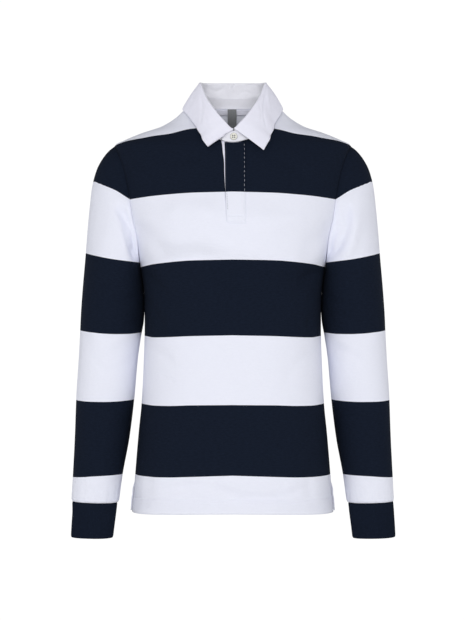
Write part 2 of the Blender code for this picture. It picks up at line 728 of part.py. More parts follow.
def button():
    """A four-hole shirt button with a raised rim, sewn to the upper stand end."""
    bpy.ops.mesh.primitive_cylinder_add(vertices=24, radius=BUTTON_RADIUS * MM,
                                        depth=BUTTON_THICKNESS * MM)
    piece = bpy.context.object
    piece.name = "button_collar"
    bpy.context.collection.objects.unlink(piece)
    shirt.objects.link(piece)
    rim = bmesh.new()
    rim.from_mesh(piece.data)
    face = max(rim.faces, key=lambda f: f.calc_center_median().z)
    bmesh.ops.inset_region(rim, faces=[face], thickness=BUTTON_RIM * MM)
    bmesh.ops.translate(rim, verts=list(face.verts), vec=(0, 0, -BUTTON_DISH * MM))
    rim.to_mesh(piece.data)
    rim.free()
    piece.data.name = "button_collar"
    piece.data.materials.append(button_resin)
    for x in (-1, 1):
        for y in (-1, 1):
            bpy.ops.mesh.primitive_cylinder_add(
                vertices=8, radius=BUTTON_HOLE_RADIUS * MM, depth=3 * BUTTON_THICKNESS * MM,
                location=(x * BUTTON_HOLE_OFFSET * MM, y * BUTTON_HOLE_OFFSET * MM, 0))
            hole = bpy.context.object
            hole.name = f"cutter_hole_{x}_{y}"
            hole.hide_render = True
            hole.display_type = "WIRE"
            bpy.context.collection.objects.unlink(hole)
            cutters.objects.link(hole)
            hole.parent = piece
            cut = piece.modifiers.new(hole.name, "BOOLEAN")
            cut.operation = "DIFFERENCE"
            cut.object = hole
    share = (BUTTON_Z - neckline(0).z) / (stand_point(0, 1).z - neckline(0).z)
    seat = stand_point(math.degrees(math.asin(BUTTON_X / NECK_HALF_WIDTH)), share)
    lean = stand_point(0, 1) - stand_point(0, 0)
    facing = Vector((0.0, -lean.z, lean.y)).normalized()
    piece.rotation_euler = facing.to_track_quat("Z", "Y").to_euler()
    piece.location = (seat + facing * (BUTTON_THICKNESS / 2 + LAP_GAP)) * MM
    return piece


# --------------------------------------------------------------------- build
for old in list(bpy.data.objects):
    bpy.data.objects.remove(old, do_unlink=True)

shirt = bpy.data.collections.new("rugby_shirt")
cutters = bpy.data.collections.new("cutters")
for made in (shirt, cutters):
    bpy.context.scene.collection.children.link(made)

striped = material("striped_jersey", NAVY, 0.85)
navy_rib = material("navy_rib", NAVY, 0.9)
twill = material("white_twill", WHITE, 0.8)
tape_cloth = material("neck_tape", WHITE, 0.8)
label_cloth = material("grey_label", GREY, 0.7)
button_resin = material("cream_resin", CREAM, 0.35)

front()
back()
sleeve("sleeve_left", 1)
sleeve("sleeve_right", -1)
cuff("cuff_left", 1)
cuff("cuff_right", -1)
collar_stand()
collar_fall()
placket_flap()
placket_under()
neck_tape()
label()
button()
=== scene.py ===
"""Looks of a long-sleeved rugby shirt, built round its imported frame.

All sizes are in millimetres, in the frame's own axes: +Z up, the shirt's front
towards -Y and the wearer's left at +X. The forms of the pieces are the frame's
forms in a finer mesh, with creases, seams, stitches and knit added.
"""
import math

import bmesh
import bpy
import numpy as np
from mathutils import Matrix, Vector


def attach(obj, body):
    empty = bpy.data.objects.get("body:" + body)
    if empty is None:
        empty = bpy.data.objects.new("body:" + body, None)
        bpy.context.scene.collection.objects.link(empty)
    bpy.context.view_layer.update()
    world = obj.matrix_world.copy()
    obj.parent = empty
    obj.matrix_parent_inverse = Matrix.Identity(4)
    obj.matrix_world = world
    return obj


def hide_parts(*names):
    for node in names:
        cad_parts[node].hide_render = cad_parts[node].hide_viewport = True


bl_info = {
    "name": "Rugby shirt",
    "version": (1, 0, 0),
    "blender": (4, 5, 0),
    "location": "3D View > Sidebar > Rugby shirt",
    "description": "Dresses the frame of a striped rugby shirt in jersey, twill and rib",
    "category": "Object",
}

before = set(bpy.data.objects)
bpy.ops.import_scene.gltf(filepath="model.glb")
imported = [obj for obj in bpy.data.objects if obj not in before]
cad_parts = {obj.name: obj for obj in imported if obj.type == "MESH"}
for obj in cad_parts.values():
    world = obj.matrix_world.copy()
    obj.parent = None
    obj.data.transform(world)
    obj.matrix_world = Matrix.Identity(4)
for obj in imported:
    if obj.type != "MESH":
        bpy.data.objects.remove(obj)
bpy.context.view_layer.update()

MM = 0.001

# ------------------------------------------------------------ the cut (mm)
JERSEY = 1.5            # wall thicknesses
RIB = 2.0
TWILL = 1.5
STAND = 1.8
TAPE = 1.0
LAP_GAP = 0.4           # gap between a piece and the one it lies on
SEAM_GAP = 0.06         # half of the gap left at a side seam
SIDE_SEAM_DIP = 0.9     # how far the cloth dips at a seam
ARMHOLE_DIP = 0.3
SLEEVE_UNDER = 1.6      # how far the sleeve reaches in under the armhole's edge
SLEEVE_DIP = 0.5
STAND_GAP = 0.2         # gap between the neck edge and the stand
SEAM_TUCK = 1.0         # how far the fall reaches down behind the stand's top

ARMPIT_Z = -281.0
SHOULDER_Z = -73.5
ARMHOLE_DEPTH_FRONT = 58.0
ARMHOLE_DEPTH_BACK = 60.0
YOKE_TURN = 45.0        # above this turn of the armhole the panels fan out to the neck
HEM_SIDE_Z = -706.0
HEM_RISE_FRONT = 4.6
HEM_RISE_BACK = -1.2
HEM_RISE_REACH = 120.0
HEM_LINE_Z = -681.0     # top of the hem's turn-up
HEM_DRAW = 4.6          # how far the sewn line draws the cloth in
HEM_DRAW_REACH = 18.0
HEM_WAVE_REACH = 12.0
HEM_TURN_UP = 0.6       # how far the doubled cloth of the turn-up stands out
HEM_DIP = 0.45          # depth of the groove along its top
VENT_TOP_Z = -652.0     # the side seams are left open below this
VENT_SPREAD = 3.0
VENT_EASE = 18.0        # height over which the back's edge comes out in the vent
VENT_COLUMNS = 5        # mesh columns that it takes along

NECK_HALF_WIDTH = 70.0
NECK_FRONT_Z = -73.2

SLIT_RIGHT = 20.0
SLIT_END_Z = -204.1
SLIT_EASE = 45.0        # below the slit its left edge's line fades out over this height
FLAP_RIGHT = 22.0
FLAP_END_Z = -213.0
PLACKET_COLUMNS = ("z", "slit", "flap")     # left edges of the slit and of the flap
PLACKET_EDGES = [
    (FLAP_END_Z, -9.8, -10.4), (-190.0, -10.4, -11.0), (-170.0, -12.2, -12.0),
    (-152.0, -13.2, -12.6), (-139.0, -14.0, -12.9), (-125.0, -14.6, -13.0),
    (-112.0, -14.8, -13.05), (-105.0, -15.2, -13.1), (-98.0, -16.1, -13.2),
    (-92.0, -17.0, -13.3), (-78.0, -18.4, -13.9), (-70.0, -19.9, -14.1),
]
FLAP_CORNER = 4.0
FLAP_SEAM_X = 19.6      # where the flap is sewn to the front
BOX_TOP_Z = -200.4      # the sewn box at the placket's end
BOX_LOW_Z = -210.0
BOX_LINE_WIDTH = 1.2
BOX_LINE_DEPTH = 0.8
FLAP_LIFT = 2 * LAP_GAP + JERSEY
UNDER_RIGHT = 16.0

BODY_COLUMNS = ("z", "half_width", "front", "back", "squareness")
BODY_SECTIONS = [
    (-713.0, 174.5, 118.0, 118.0, 2.80),
    (-641.0, 169.3, 117.0, 115.0, 2.50),
    (-572.0, 163.6, 115.0, 110.0, 2.45),
    (-519.0, 158.3, 114.0, 106.0, 2.45),
    (-463.0, 155.2, 114.5, 103.0, 2.45),
    (-390.0, 153.0, 117.0, 103.0, 2.45),
    (-340.0, 153.5, 120.0, 108.0, 2.45),
    (-281.0, 160.6, 124.0, 114.0, 2.45),
    (-240.0, 170.0, 126.0, 118.0, 2.42),
    (-205.0, 182.0, 126.0, 119.5, 2.40),
    (-165.0, 192.5, 119.0, 118.5, 2.38),
    (-135.0, 199.0, 110.5, 115.0, 2.35),
    (-103.0, 203.5, 100.0, 108.0, 2.30),
    (-73.5, 206.0, 86.0, 97.0, 2.25),
    (-62.5, 186.0, 77.0, 91.5, 2.20),
    (-51.0, 158.0, 67.5, 85.0, 2.20),
    (-40.0, 125.0, 58.0, 79.0, 2.20),
    (-24.0, 99.0, 46.0, 72.0, 2.20),
    (-11.0, 85.0, 37.0, 66.5, 2.20),
    (0.0, 70.0, 30.0, 62.0, 2.20),
]

SLEEVE_COLUMNS = ("outer_x", "outer_z", "inner_x", "inner_z", "half_depth", "middle_y")
SLEEVE_RINGS = [
    (206.2, -73.5, 161.4, -281.2, 59.0, 1.0),
    (216.4, -82.4, 160.8, -283.5, 60.5, 1.0),
    (227.2, -96.0, 160.2, -286.5, 62.0, 1.0),
    (237.1, -115.2, 159.5, -290.5, 64.0, 1.0),
    (244.6, -144.0, 158.6, -296.0, 65.5, 1.5),
    (248.2, -174.0, 157.5, -303.0, 66.5, 2.0),
    (252.0, -212.0, 156.1, -313.0, 66.5, 3.0),
    (256.0, -262.0, 155.0, -327.0, 65.0, 4.0),
    (261.6, -325.0, 153.6, -350.0, 62.5, 6.0),
    (264.6, -366.0, 154.8, -374.0, 60.5, 8.0),
    (266.4, -404.0, 160.2, -405.0, 58.5, 10.0),
    (268.4, -440.0, 165.4, -440.0, 56.5, 11.0),
    (273.0, -514.0, 172.0, -514.0, 52.0, 10.0),
    (275.0, -578.0, 180.0, -580.0, 48.0, 6.0),
    (277.5, -640.0, 191.2, -642.0, 44.0, -2.0),
    (279.6, -688.4, 198.0, -690.6, 39.0, -8.0),
]
SLEEVE_SQUARENESS = 2.15
GATHER_REACH = 42.0     # how far up from the cuff its gathers run
SLEEVE_BLEND = 230.0    # length over which the rings turn from the armhole's form to their own

CUFF_RINGS = [
    (278.0, -689.0, 200.4, -691.2, 36.5, -8.5),
    (278.6, -709.0, 202.6, -711.0, 34.5, -10.0),
    (279.8, -729.5, 205.2, -731.5, 32.0, -12.0),
    (280.8, -750.4, 207.6, -752.0, 29.5, -14.0),
]

NECK_COLUMNS = ("angle", "z")
NECKLINE = [
    (-20.0, -68.5), (0.0, NECK_FRONT_Z), (20.0, -68.5), (40.0, -52.5), (60.0, -31.0),
    (75.0, -13.5), (84.0, -4.5), (90.0, 0.0), (120.0, -1.0), (180.0, -2.5),
    (240.0, -1.0),
]

COLLAR_COLUMNS = ("angle", "stand_top_z", "stand_half_width", "stand_y",
                  "fold_z", "fold_half_width", "fold_y")
COLLAR = [
    (-12.0, -51.5, 62.5, -82.4, -39.4, 57.0, -85.6),
    (0.0, -55.0, 62.5, -84.0, -49.8, 57.0, -87.0),
    (12.0, -51.5, 62.5, -82.4, -39.4, 57.0, -85.6),
    (23.0, -45.0, 62.5, -78.4, -27.5, 57.0, -81.4),
    (38.0, -31.5, 62.5, -68.8, -10.5, 57.0, -72.2),
    (52.0, -17.5, 62.5, -56.0, 5.0, 57.0, -59.8),
    (67.0, -2.5, 62.5, -39.0, 22.5, 57.0, -43.5),
    (79.0, 8.0, 62.5, -25.0, 33.0, 57.0, -28.5),
    (95.0, 14.5, 62.5, -6.0, 36.8, 57.0, -8.5),
    (130.0, 17.0, 62.5, 33.5, 40.0, 57.0, 31.5),
    (180.0, 16.5, 62.5, 57.5, 43.0, 57.0, 56.5),
    (230.0, 17.0, 62.5, 33.5, 40.0, 57.0, 31.5),
]

EDGE_COLUMNS = ("angle", "body_angle", "body_z", "lift")
LEAF_EDGE_BACK = [      # at the back of the neck both leaves are alike
    (105.0, -22.0, -9.5, 4.5), (135.0, -52.0, -10.0, 4.5), (180.0, -90.0, -11.0, 4.5),
    (225.0, -52.0, -10.0, 4.5),
]
LEAF_EDGE_RIGHT = [
    (0.0, 80.4, -84.5, 7.5), (20.0, 76.5, -67.5, 6.0), (40.0, 68.8, -50.5, 5.0),
    (52.0, 58.0, -38.8, 4.5), (62.0, 44.2, -27.0, 4.5), (74.0, 26.0, -17.0, 4.5),
    (86.0, 2.0, -10.8, 4.5),
] + LEAF_EDGE_BACK
LEAF_EDGE_LEFT = [
    (0.0, 78.4, -93.0, 7.5), (20.0, 74.3, -70.5, 6.0), (40.0, 65.5, -50.5, 5.0),
    (52.0, 53.5, -37.0, 4.5), (62.0, 41.5, -27.5, 4.5), (74.0, 22.0, -15.8, 4.5),
    (86.0, 2.0, -10.5, 4.5),
] + LEAF_EDGE_BACK
LEAF_BOW = 1.8          # how far the fall bows out between its fold and its edge
LEAF_BOW_SKEW = 0.4
FOLD_RADIUS = 2.2
FOLD_ROWS = 9
LEAF_DROP = 40.0        # depth of the fall that the shares in its crease table stand for
STAND_LAP = 2.4         # how far the upper end of the stand lies out
STAND_LAP_END = 38.0
STAND_LAP_FADE = 20.0
STAND_CORNER = 0.72     # share of the stand's height that its rounded ends keep
STAND_CORNER_TURN = 7.0
STAND_START = -15.0
STAND_END = 374.0
LEAF_START = 2.4
LEAF_END = 361.0

BUTTON_THICKNESS = 2.8
BUTTON_X = 1.6
BUTTON_Z = -64.2

LABEL_LEFT = -9.0
LABEL_RIGHT = 6.5
LABEL_LENGTH = 38.0
LABEL_TOP_Z = -3.6
LABEL_HANG = 1.6
TAPE_WIDTH = 9.0
TAPE_TOP_Z = -2.6
TAPE_START = 14.0
TAPE_TURN = 152.0

# ------------------------------------------------------------- the stripes
# Height of each colour change over a distance from the middle. Above the
# first one the cloth is white, then navy, white, navy, white, navy, white.
STRIPE_COLUMNS = ("x", "shoulder", "chest", "belly", "waist", "hip", "seat")
SIDE_STRIPES = [        # past the side seams the front and the back are alike
    (180.0, -66.5, -169.4, -286.7, -402.3, -519.4, -641.2),
    (206.0, -74.0, -172.8, -288.0, -402.3, -519.4, -641.2),
]
FRONT_STRIPES = [
    (0.0, -44.0, -159.2, -273.2, -400.6, -517.8, -636.5),
    (70.0, -48.0, -160.8, -274.4, -402.1, -518.6, -639.0),
    (110.0, -57.0, -163.1, -277.3, -404.0, -520.3, -641.0),
    (135.0, -59.8, -165.0, -279.9, -404.7, -520.6, -641.6),
    (155.0, -63.0, -166.9, -283.4, -402.3, -519.4, -641.4),
] + SIDE_STRIPES
BACK_STRIPES = [
    (0.0, -46.0, -164.0, -279.0, -398.5, -516.5, -637.5),
    (70.0, -49.0, -164.8, -279.8, -400.0, -517.8, -639.0),
    (110.0, -58.4, -166.0, -281.0, -402.0, -519.2, -640.6),
    (135.0, -61.0, -167.0, -282.0, -402.8, -519.8, -641.3),
    (155.0, -63.0, -168.0, -283.4, -402.3, -519.4, -641.4),
] + SIDE_STRIPES
SLEEVE_STRIPES = [
    (160.0, -60.0, -177.0, -276.2, -397.2, -512.5, -642.0),
    (180.0, -60.0, -166.2, -274.2, -399.3, -514.0, -642.4),
    (200.0, -60.0, -153.4, -271.8, -399.5, -515.3, -642.3),
    (220.0, -60.0, -144.4, -268.3, -398.8, -515.9, -643.0),
    (245.0, -60.0, -133.0, -262.5, -396.4, -515.8, -644.3),
    (265.0, -60.0, -124.0, -256.2, -393.6, -514.8, -646.2),
    (280.0, -60.0, -118.0, -252.0, -391.0, -513.5, -647.8),
]

# ------------------------------------------------------------- the creases
# Soft troughs (depth above 0) and ridges (below 0), each from one place to
# another, with its width across and its depth in the middle of its length:
# x and z of its start, x and z of its end, width, depth.
FRONT_CREASES = [
    (-174, -214, -112, -272, 25, 3.4),
    (174, -216, 116, -274, 25, 3.0),
    (-168, -293, 60, -292, 36, 9.0),
    (-50, -294, 168, -291, 35, 8.0),
    (-112, -194, -14, -204, 38, -4.4),
    (20, -202, 120, -204, 36, -4.0),
    (-122, -662, 16, -674, 13, 2.6),
    (20, -672, 126, -656, 12, 2.2),
    (-166, -292, -112, -336, 13, 3.0),
    (-164, -308, -96, -372, 16, -1.8),
    (-156, -330, -118, -402, 13, 2.0),
    (165, -290, 104, -330, 13, 2.8),
    (163, -306, 110, -378, 16, -1.8),
    (155, -334, 128, -398, 12, 1.8),
    (-150, -420, -96, -462, 17, 1.9),
    (148, -428, 90, -474, 17, 2.0),
    (-122, -470, -98, -482, 7, 1.6),
    (42, -472, 66, -484, 7, 1.6),
    (-140, -540, -60, -566, 22, 1.7),
    (30, -548, 142, -580, 24, 1.8),
    (-96, -600, -84, -676, 17, 1.6),
    (-20, -612, -28, -688, 19, 1.3),
    (62, -596, 78, -680, 17, 1.7),
    (134, -610, 140, -690, 14, 1.5),
    (-148, -620, -152, -694, 13, 1.4),
    (-60, -96, -122, -132, 17, 1.5),
    (66, -100, 128, -140, 17, 1.5),
]
BACK_CREASES = [
    (-166, -296, -100, -352, 13, 1.9),
    (-162, -316, -84, -398, 15, -1.4),
    (-156, -346, -112, -426, 12, 1.5),
    (164, -300, 92, -360, 13, 1.8),
    (160, -322, 104, -404, 16, -1.5),
    (154, -352, 122, -418, 11, 1.2),
    (-172, -216, -126, -168, 14, 1.4),
    (170, -222, 118, -176, 14, 1.3),
    (-92, -432, 10, -456, 16, 1.6),
    (96, -446, -6, -478, 17, 1.5),
    (-120, -482, -24, -506, 17, 1.4),
    (118, -500, 24, -520, 15, 1.2),
    (-70, -398, 40, -414, 14, 1.1),
    (-44, -110, -18, -190, 20, 0.9),
    (52, -116, 24, -200, 20, 0.8),
    (-104, -590, -90, -678, 15, 1.0),
    (-16, -604, -8, -684, 17, 0.9),
    (70, -598, 86, -676, 15, 1.0),
    (140, -612, 146, -690, 13, 0.8),
]
LEFT_SLEEVE_FRONT_CREASES = [
    (196, -178, 165, -268, 17, 8.0),
    (184, -212, 162, -270, 8, 2.6),
    (206, -196, 180, -292, 15, -2.6),
    (158, -330, 214, -352, 11, 1.4),
    (158, -362, 226, -392, 13, 1.8),
    (162, -398, 236, -420, 12, -1.2),
    (166, -424, 222, -448, 13, 1.5),
    (250, -386, 196, -470, 15, 0.9),
    (184, -540, 246, -566, 14, 1.1),
    (268, -590, 216, -628, 13, 1.1),
    (192, -628, 240, -664, 11, 0.9),
    (236, -668, 240, -692, 6, 0.7),
    (214, -664, 211, -692, 5, 0.7),
    (262, -660, 264, -690, 6, 0.6),
    (228, -150, 236, -250, 16, 0.7),
]
LEFT_SLEEVE_BACK_CREASES = [
    (190, -184, 163, -262, 16, 4.6),
    (160, -340, 232, -372, 13, 1.7),
    (160, -376, 240, -398, 12, 1.9),
    (164, -410, 230, -436, 14, 1.6),
    (258, -420, 206, -486, 14, 1.2),
    (182, -560, 250, -590, 13, 1.1),
    (266, -620, 214, -650, 12, 1.0),
    (206, -662, 204, -692, 6, 0.8),
    (244, -664, 248, -692, 6, 0.7),
    (232, -160, 238, -262, 16, 0.8),
]
RIGHT_SLEEVE_FRONT_CREASES = [
    (-197, -180, -165, -270, 17, 8.4),
    (-184, -216, -162, -272, 8, 2.8),
    (-207, -200, -180, -296, 15, -2.6),
    (-158, -336, -220, -364, 12, 1.6),
    (-159, -374, -232, -396, 12, 1.7),
    (-164, -404, -228, -432, 13, -1.2),
    (-168, -436, -216, -462, 12, 1.3),
    (-254, -398, -206, -478, 15, 1.0),
    (-180, -552, -244, -574, 14, 1.0),
    (-270, -600, -220, -640, 13, 1.2),
    (-194, -640, -236, -672, 11, 0.8),
    (-230, -666, -232, -692, 6, 0.7),
    (-256, -662, -259, -692, 5, 0.7),
    (-208, -664, -205, -690, 6, 0.6),
    (-230, -156, -238, -256, 16, 0.7),
]
RIGHT_SLEEVE_BACK_CREASES = [
    (-190, -188, -163, -266, 16, 4.6),
    (-160, -334, -226, -362, 13, 1.8),
    (-161, -370, -238, -404, 13, 1.7),
    (-165, -416, -224, -446, 14, 1.5),
    (-260, -430, -210, -480, 14, 1.1),
    (-184, -568, -248, -584, 13, 1.0),
    (-264, -610, -212, -658, 12, 1.1),
    (-214, -664, -210, -692, 6, 0.8),
    (-250, -662, -254, -692, 6, 0.7),
    (-232, -166, -240, -252, 16, 0.7),
]
# On the collar a crease runs over angles round the neck and shares of the way
# down the leaf, from the fold (0) to the free edge (1).
COLLAR_CREASES = [
    (64.0, 0.10, 30.0, 0.72, 3.6, 1.5),
    (46.0, 0.08, 26.0, 0.50, 3.0, 1.0),
    (78.0, 0.05, 52.0, 0.60, 4.5, -0.8),
    (300.0, 0.10, 322.0, 0.75, 5.0, 0.9),
    (318.0, 0.12, 334.0, 0.62, 4.0, 0.6),
    (284.0, 0.15, 292.0, 0.85, 6.0, 0.8),
    (128.0, 0.10, 138.0, 0.85, 8.0, 0.7),
    (236.0, 0.15, 224.0, 0.85, 8.0, 0.7),
    (182.0, 0.20, 176.0, 0.85, 9.0, 0.6),
]

# Inside, it runs over angles and rows from the seam with the stand upwards.
COLLAR_TUCKS = [
    (177.0, 13.0, 180.0, 7.0, 3.0, 1.6),
    (187.0, 12.0, 182.0, 6.0, 3.5, 1.2),
    (128.0, 11.0, 164.0, 8.0, 3.0, 0.9),
    (196.0, 9.0, 236.0, 12.0, 3.0, 0.9),
    (146.0, 4.0, 172.0, 3.0, 2.0, 0.6),
]

# ---------------------------------------------------------- mesh fineness
FINE = 6                # mesh columns to one of the frame's columns
SIDE_COLUMNS = 5
SHOULDER_COLUMNS = 6
SLIT_COLUMNS = 4        # of the frame's columns, those that the slit's left edge takes along
ROW_STEP = 4.0
HEM_ROW_STEP = 1.0      # rows close to the hem line, over this reach to either side
HEM_ROWS_REACH = 4.0
HEM_EDGE_STEP = 3.0
YOKE_ROWS = 28
ARC_STEPS = 400         # steps by which a row's arc is measured
SLEEVE_SIDES = 132
SLEEVE_STEP = 4.0
SEAM_STEP = 1.5         # rows of a sleeve close to the armhole, over this reach
SEAM_REACH = 12.0
RIBS = 96               # ribs round a cuff, 2.2 mm apart
RIB_SIDES = 4           # mesh columns to a rib
CUFF_ROWS = 30
COLLAR_SECTIONS = 340
LEAF_ROWS = 36
INNER_ROWS = 14
STAND_ROWS = 20
FLAP_ROWS = 200
FLAP_COLUMNS = 30
UNDER_ROWS = 70
UNDER_COLUMNS = 20
TAPE_COLUMNS = 160
TAPE_ROWS = 10
LABEL_COLUMNS = 14
LABEL_ROWS = 32
COLUMN_PITCH = 3.3      # mean distance of a panel's columns and rows, for easing at its edges
ROW_PITCH = 3.0


# ================================================================ forms
def read(table, columns, name, at):
    """A named column, read at places in the first column, as a smooth curve."""
    rows = sorted(table)
    keys = np.array([row[0] for row in rows])
    values = np.array([row[columns.index(name)] for row in rows])
    at = np.clip(np.asarray(at, float), keys[0], keys[-1])
    spans = np.diff(keys)
    slopes = np.diff(values) / spans
    before, after = slopes[:-1], slopes[1:]
    rising = before * after > 0
    total = np.where(rising, before + after, 1.0)
    tangents = np.concatenate([slopes[:1], np.where(rising, 2 * before * after / total, 0.0),
                               slopes[-1:]])
    i = np.clip(np.searchsorted(keys, at) - 1, 0, len(spans) - 1)
    t = (at - keys[i]) / spans[i]
    return ((2 * t**3 - 3 * t**2 + 1) * values[i] + (t**3 - 2 * t**2 + t) * spans[i] * tangents[i]
            + (3 * t**2 - 2 * t**3) * values[i + 1] + (t**3 - t**2) * spans[i] * tangents[i + 1])


def smooth(share):
    """A share from 0 to 1 that starts and ends slowly."""
    share = np.clip(share, 0.0, 1.0)
    return share * share * (3.0 - 2.0 * share)


def unit(vectors):
    return vectors / np.maximum(np.linalg.norm(vectors, axis=-1, keepdims=True), 1e-9)


def stack(x, y, z):
    return np.stack(np.broadcast_arrays(x, y, z), axis=-1).astype(float)


def signed_power(value, power):
    return np.sign(value) * np.abs(value) ** power


def body_size(name, z):
    return read(BODY_SECTIONS, BODY_COLUMNS, name, z)


def body_point(angle, z):
    """Outer surface of the body. Angle 0 is +X and 90 the middle front."""
    power = 2.0 / body_size("squareness", z)
    c, s = np.cos(np.radians(angle)), np.sin(np.radians(angle))
    depth = np.where(s >= 0, body_size("front", z), body_size("back", z))
    return stack(body_size("half_width", z) * signed_power(c, power),
                 -depth * signed_power(s, power), z)


def depth_at(x, z, side):
    n = body_size("squareness", z)
    share = np.minimum(np.abs(x) / body_size("half_width", z), 1.0)
    return body_size(side, z) * (1.0 - share**n) ** (1.0 / n) * (-1.0 if side == "front" else 1.0)


def width_at(y, z):
    n = body_size("squareness", z)
    share = np.minimum(np.abs(y) / np.where(y < 0, body_size("front", z), body_size("back", z)), 1.0)
    return body_size("half_width", z) * (1.0 - share**n) ** (1.0 / n)


def body_normal(angle, z):
    """The body's outward normal, from places a step to each side, in degrees and in mm."""
    step = 1.5
    along = body_point(angle + step, z) - body_point(angle - step, z)
    up = body_point(angle, np.minimum(z + step, 0.0)) - body_point(angle, z - step)
    normal = unit(np.cross(along, up))
    away = body_point(angle, z) * (1.0, 1.0, 0.0)
    facing = np.sum(normal * away, axis=-1, keepdims=True)
    return np.where(facing >= 0, normal, -normal)


def off_body(angle, z, lift):
    return body_point(angle, z) + body_normal(angle, z) * np.asarray(lift)[..., None]


def angle_at(x, z):
    share = np.clip(x / body_size("half_width", z), -1.0, 1.0)
    return np.degrees(np.arccos(signed_power(share, body_size("squareness", z) / 2.0)))


def armhole_point(turn):
    """The armhole seam. Turn 0 is the shoulder point and 90 its front."""
    middle = (SHOULDER_Z + ARMPIT_Z) / 2
    z = middle + (SHOULDER_Z - ARMPIT_Z) / 2 * np.cos(np.radians(turn))
    s = np.sin(np.radians(turn))
    y = -s * np.where(s >= 0, ARMHOLE_DEPTH_FRONT, ARMHOLE_DEPTH_BACK)
    return stack(width_at(y, z), y, z)


def neck_z(angle):
    return read(NECKLINE, NECK_COLUMNS, "z", np.abs((angle + 180.0) % 360.0 - 180.0))


def neckline(angle):
    """The neck edge. Angle 0 is the middle front and 90 is +X."""
    angle = np.asarray(angle, float)
    x = NECK_HALF_WIDTH * np.sin(np.radians(angle))
    z = neck_z(angle)
    y = np.where(np.cos(np.radians(angle)) > 0, depth_at(x, z, "front"), depth_at(x, z, "back"))
    return stack(x, y, z)


def ridge_z(x):
    """Height of the shoulder seam over x, found by halving."""
    low, high = np.full_like(x, SHOULDER_Z), np.zeros_like(x)
    for _ in range(40):
        middle = (low + high) / 2
        wide = body_size("half_width", middle) > x
        low, high = np.where(wide, middle, low), np.where(wide, high, middle)
    return low


def slit_left(z):
    return read(PLACKET_EDGES, PLACKET_COLUMNS, "slit", z)


def flap_left(z):
    return read(PLACKET_EDGES, PLACKET_COLUMNS, "flap", z)


def grid_normals(points, closed=False):
    if closed:
        across = np.roll(points, -1, axis=1) - np.roll(points, 1, axis=1)
    else:
        across = np.gradient(points, axis=1)
    return unit(np.cross(across, np.gradient(points, axis=0)))


# ================================================================ relief
BODY_SEED = 0.4         # these shift the slow unevenness of each piece
LEFT_SLEEVE_SEED = 1.7
RIGHT_SLEEVE_SEED = 2.6


def crease_height(table, u, v):
    """Height of the cloth over places (u, v), from a table of troughs and ridges."""
    height = np.zeros_like(u)
    for k, (u0, v0, u1, v1, width, depth) in enumerate(table):
        run = math.hypot(u1 - u0, v1 - v0)
        du, dv = (u1 - u0) / run, (v1 - v0) / run
        along = ((u - u0) * du + (v - v0) * dv) / run
        bend = 0.10 * run * np.sin(math.pi * np.clip(along, 0.0, 1.0)) * (-1.0) ** k
        across = (v - v0) * du - (u - u0) * dv - bend
        swell = 0.8 + 0.2 * np.sin(9.0 * along + 2.0 * k)
        length = smooth((along + 0.12) / 0.30) * smooth((1.12 - along) / 0.36) * swell
        near = np.exp(-(across / (0.55 * width)) ** 2)
        lip = np.exp(-((across - 1.15 * width) / (0.7 * width)) ** 2)
        height += depth * length * (0.35 * lip - near)
    return height


def undulation(u, v, seed):
    """Slow unevenness that hanging cloth has, in mm."""
    return (0.45 * np.sin(u / 31.0 + 1.7 * seed) * np.sin(v / 57.0 + 0.9 * seed)
            + 0.30 * np.sin(u / 19.0 - v / 43.0 + 2.3 * seed)
            + 0.20 * np.sin(u / 47.0 + v / 23.0 + 3.1 * seed))


def relieved(points, normals, tables, seed, ease, strength):
    """The points moved along their normals by the creases of the side they face."""
    x, z, facing = points[..., 0], points[..., 2], -normals[..., 1]
    weight = smooth((np.abs(facing) - 0.12) / 0.45) * ease * strength
    front = crease_height(tables[0], x, z) + undulation(x, z, seed)
    back = crease_height(tables[1], x, z) + undulation(x, z, seed + 1.3)
    height = np.where(facing > 0, front, back) * weight
    return points + normals * height[..., None]


# ================================================================ panels
def row_heights():
    """Rows below the armpit, close together round the hem line."""
    low = np.arange(HEM_SIDE_Z, HEM_LINE_Z - HEM_ROWS_REACH, HEM_EDGE_STEP)
    line = np.arange(HEM_LINE_Z - HEM_ROWS_REACH, HEM_LINE_Z + HEM_ROWS_REACH, HEM_ROW_STEP)
    high = np.arange(HEM_LINE_Z + HEM_ROWS_REACH, ARMPIT_Z - 1.0, ROW_STEP)
    return np.concatenate([low, line, high])


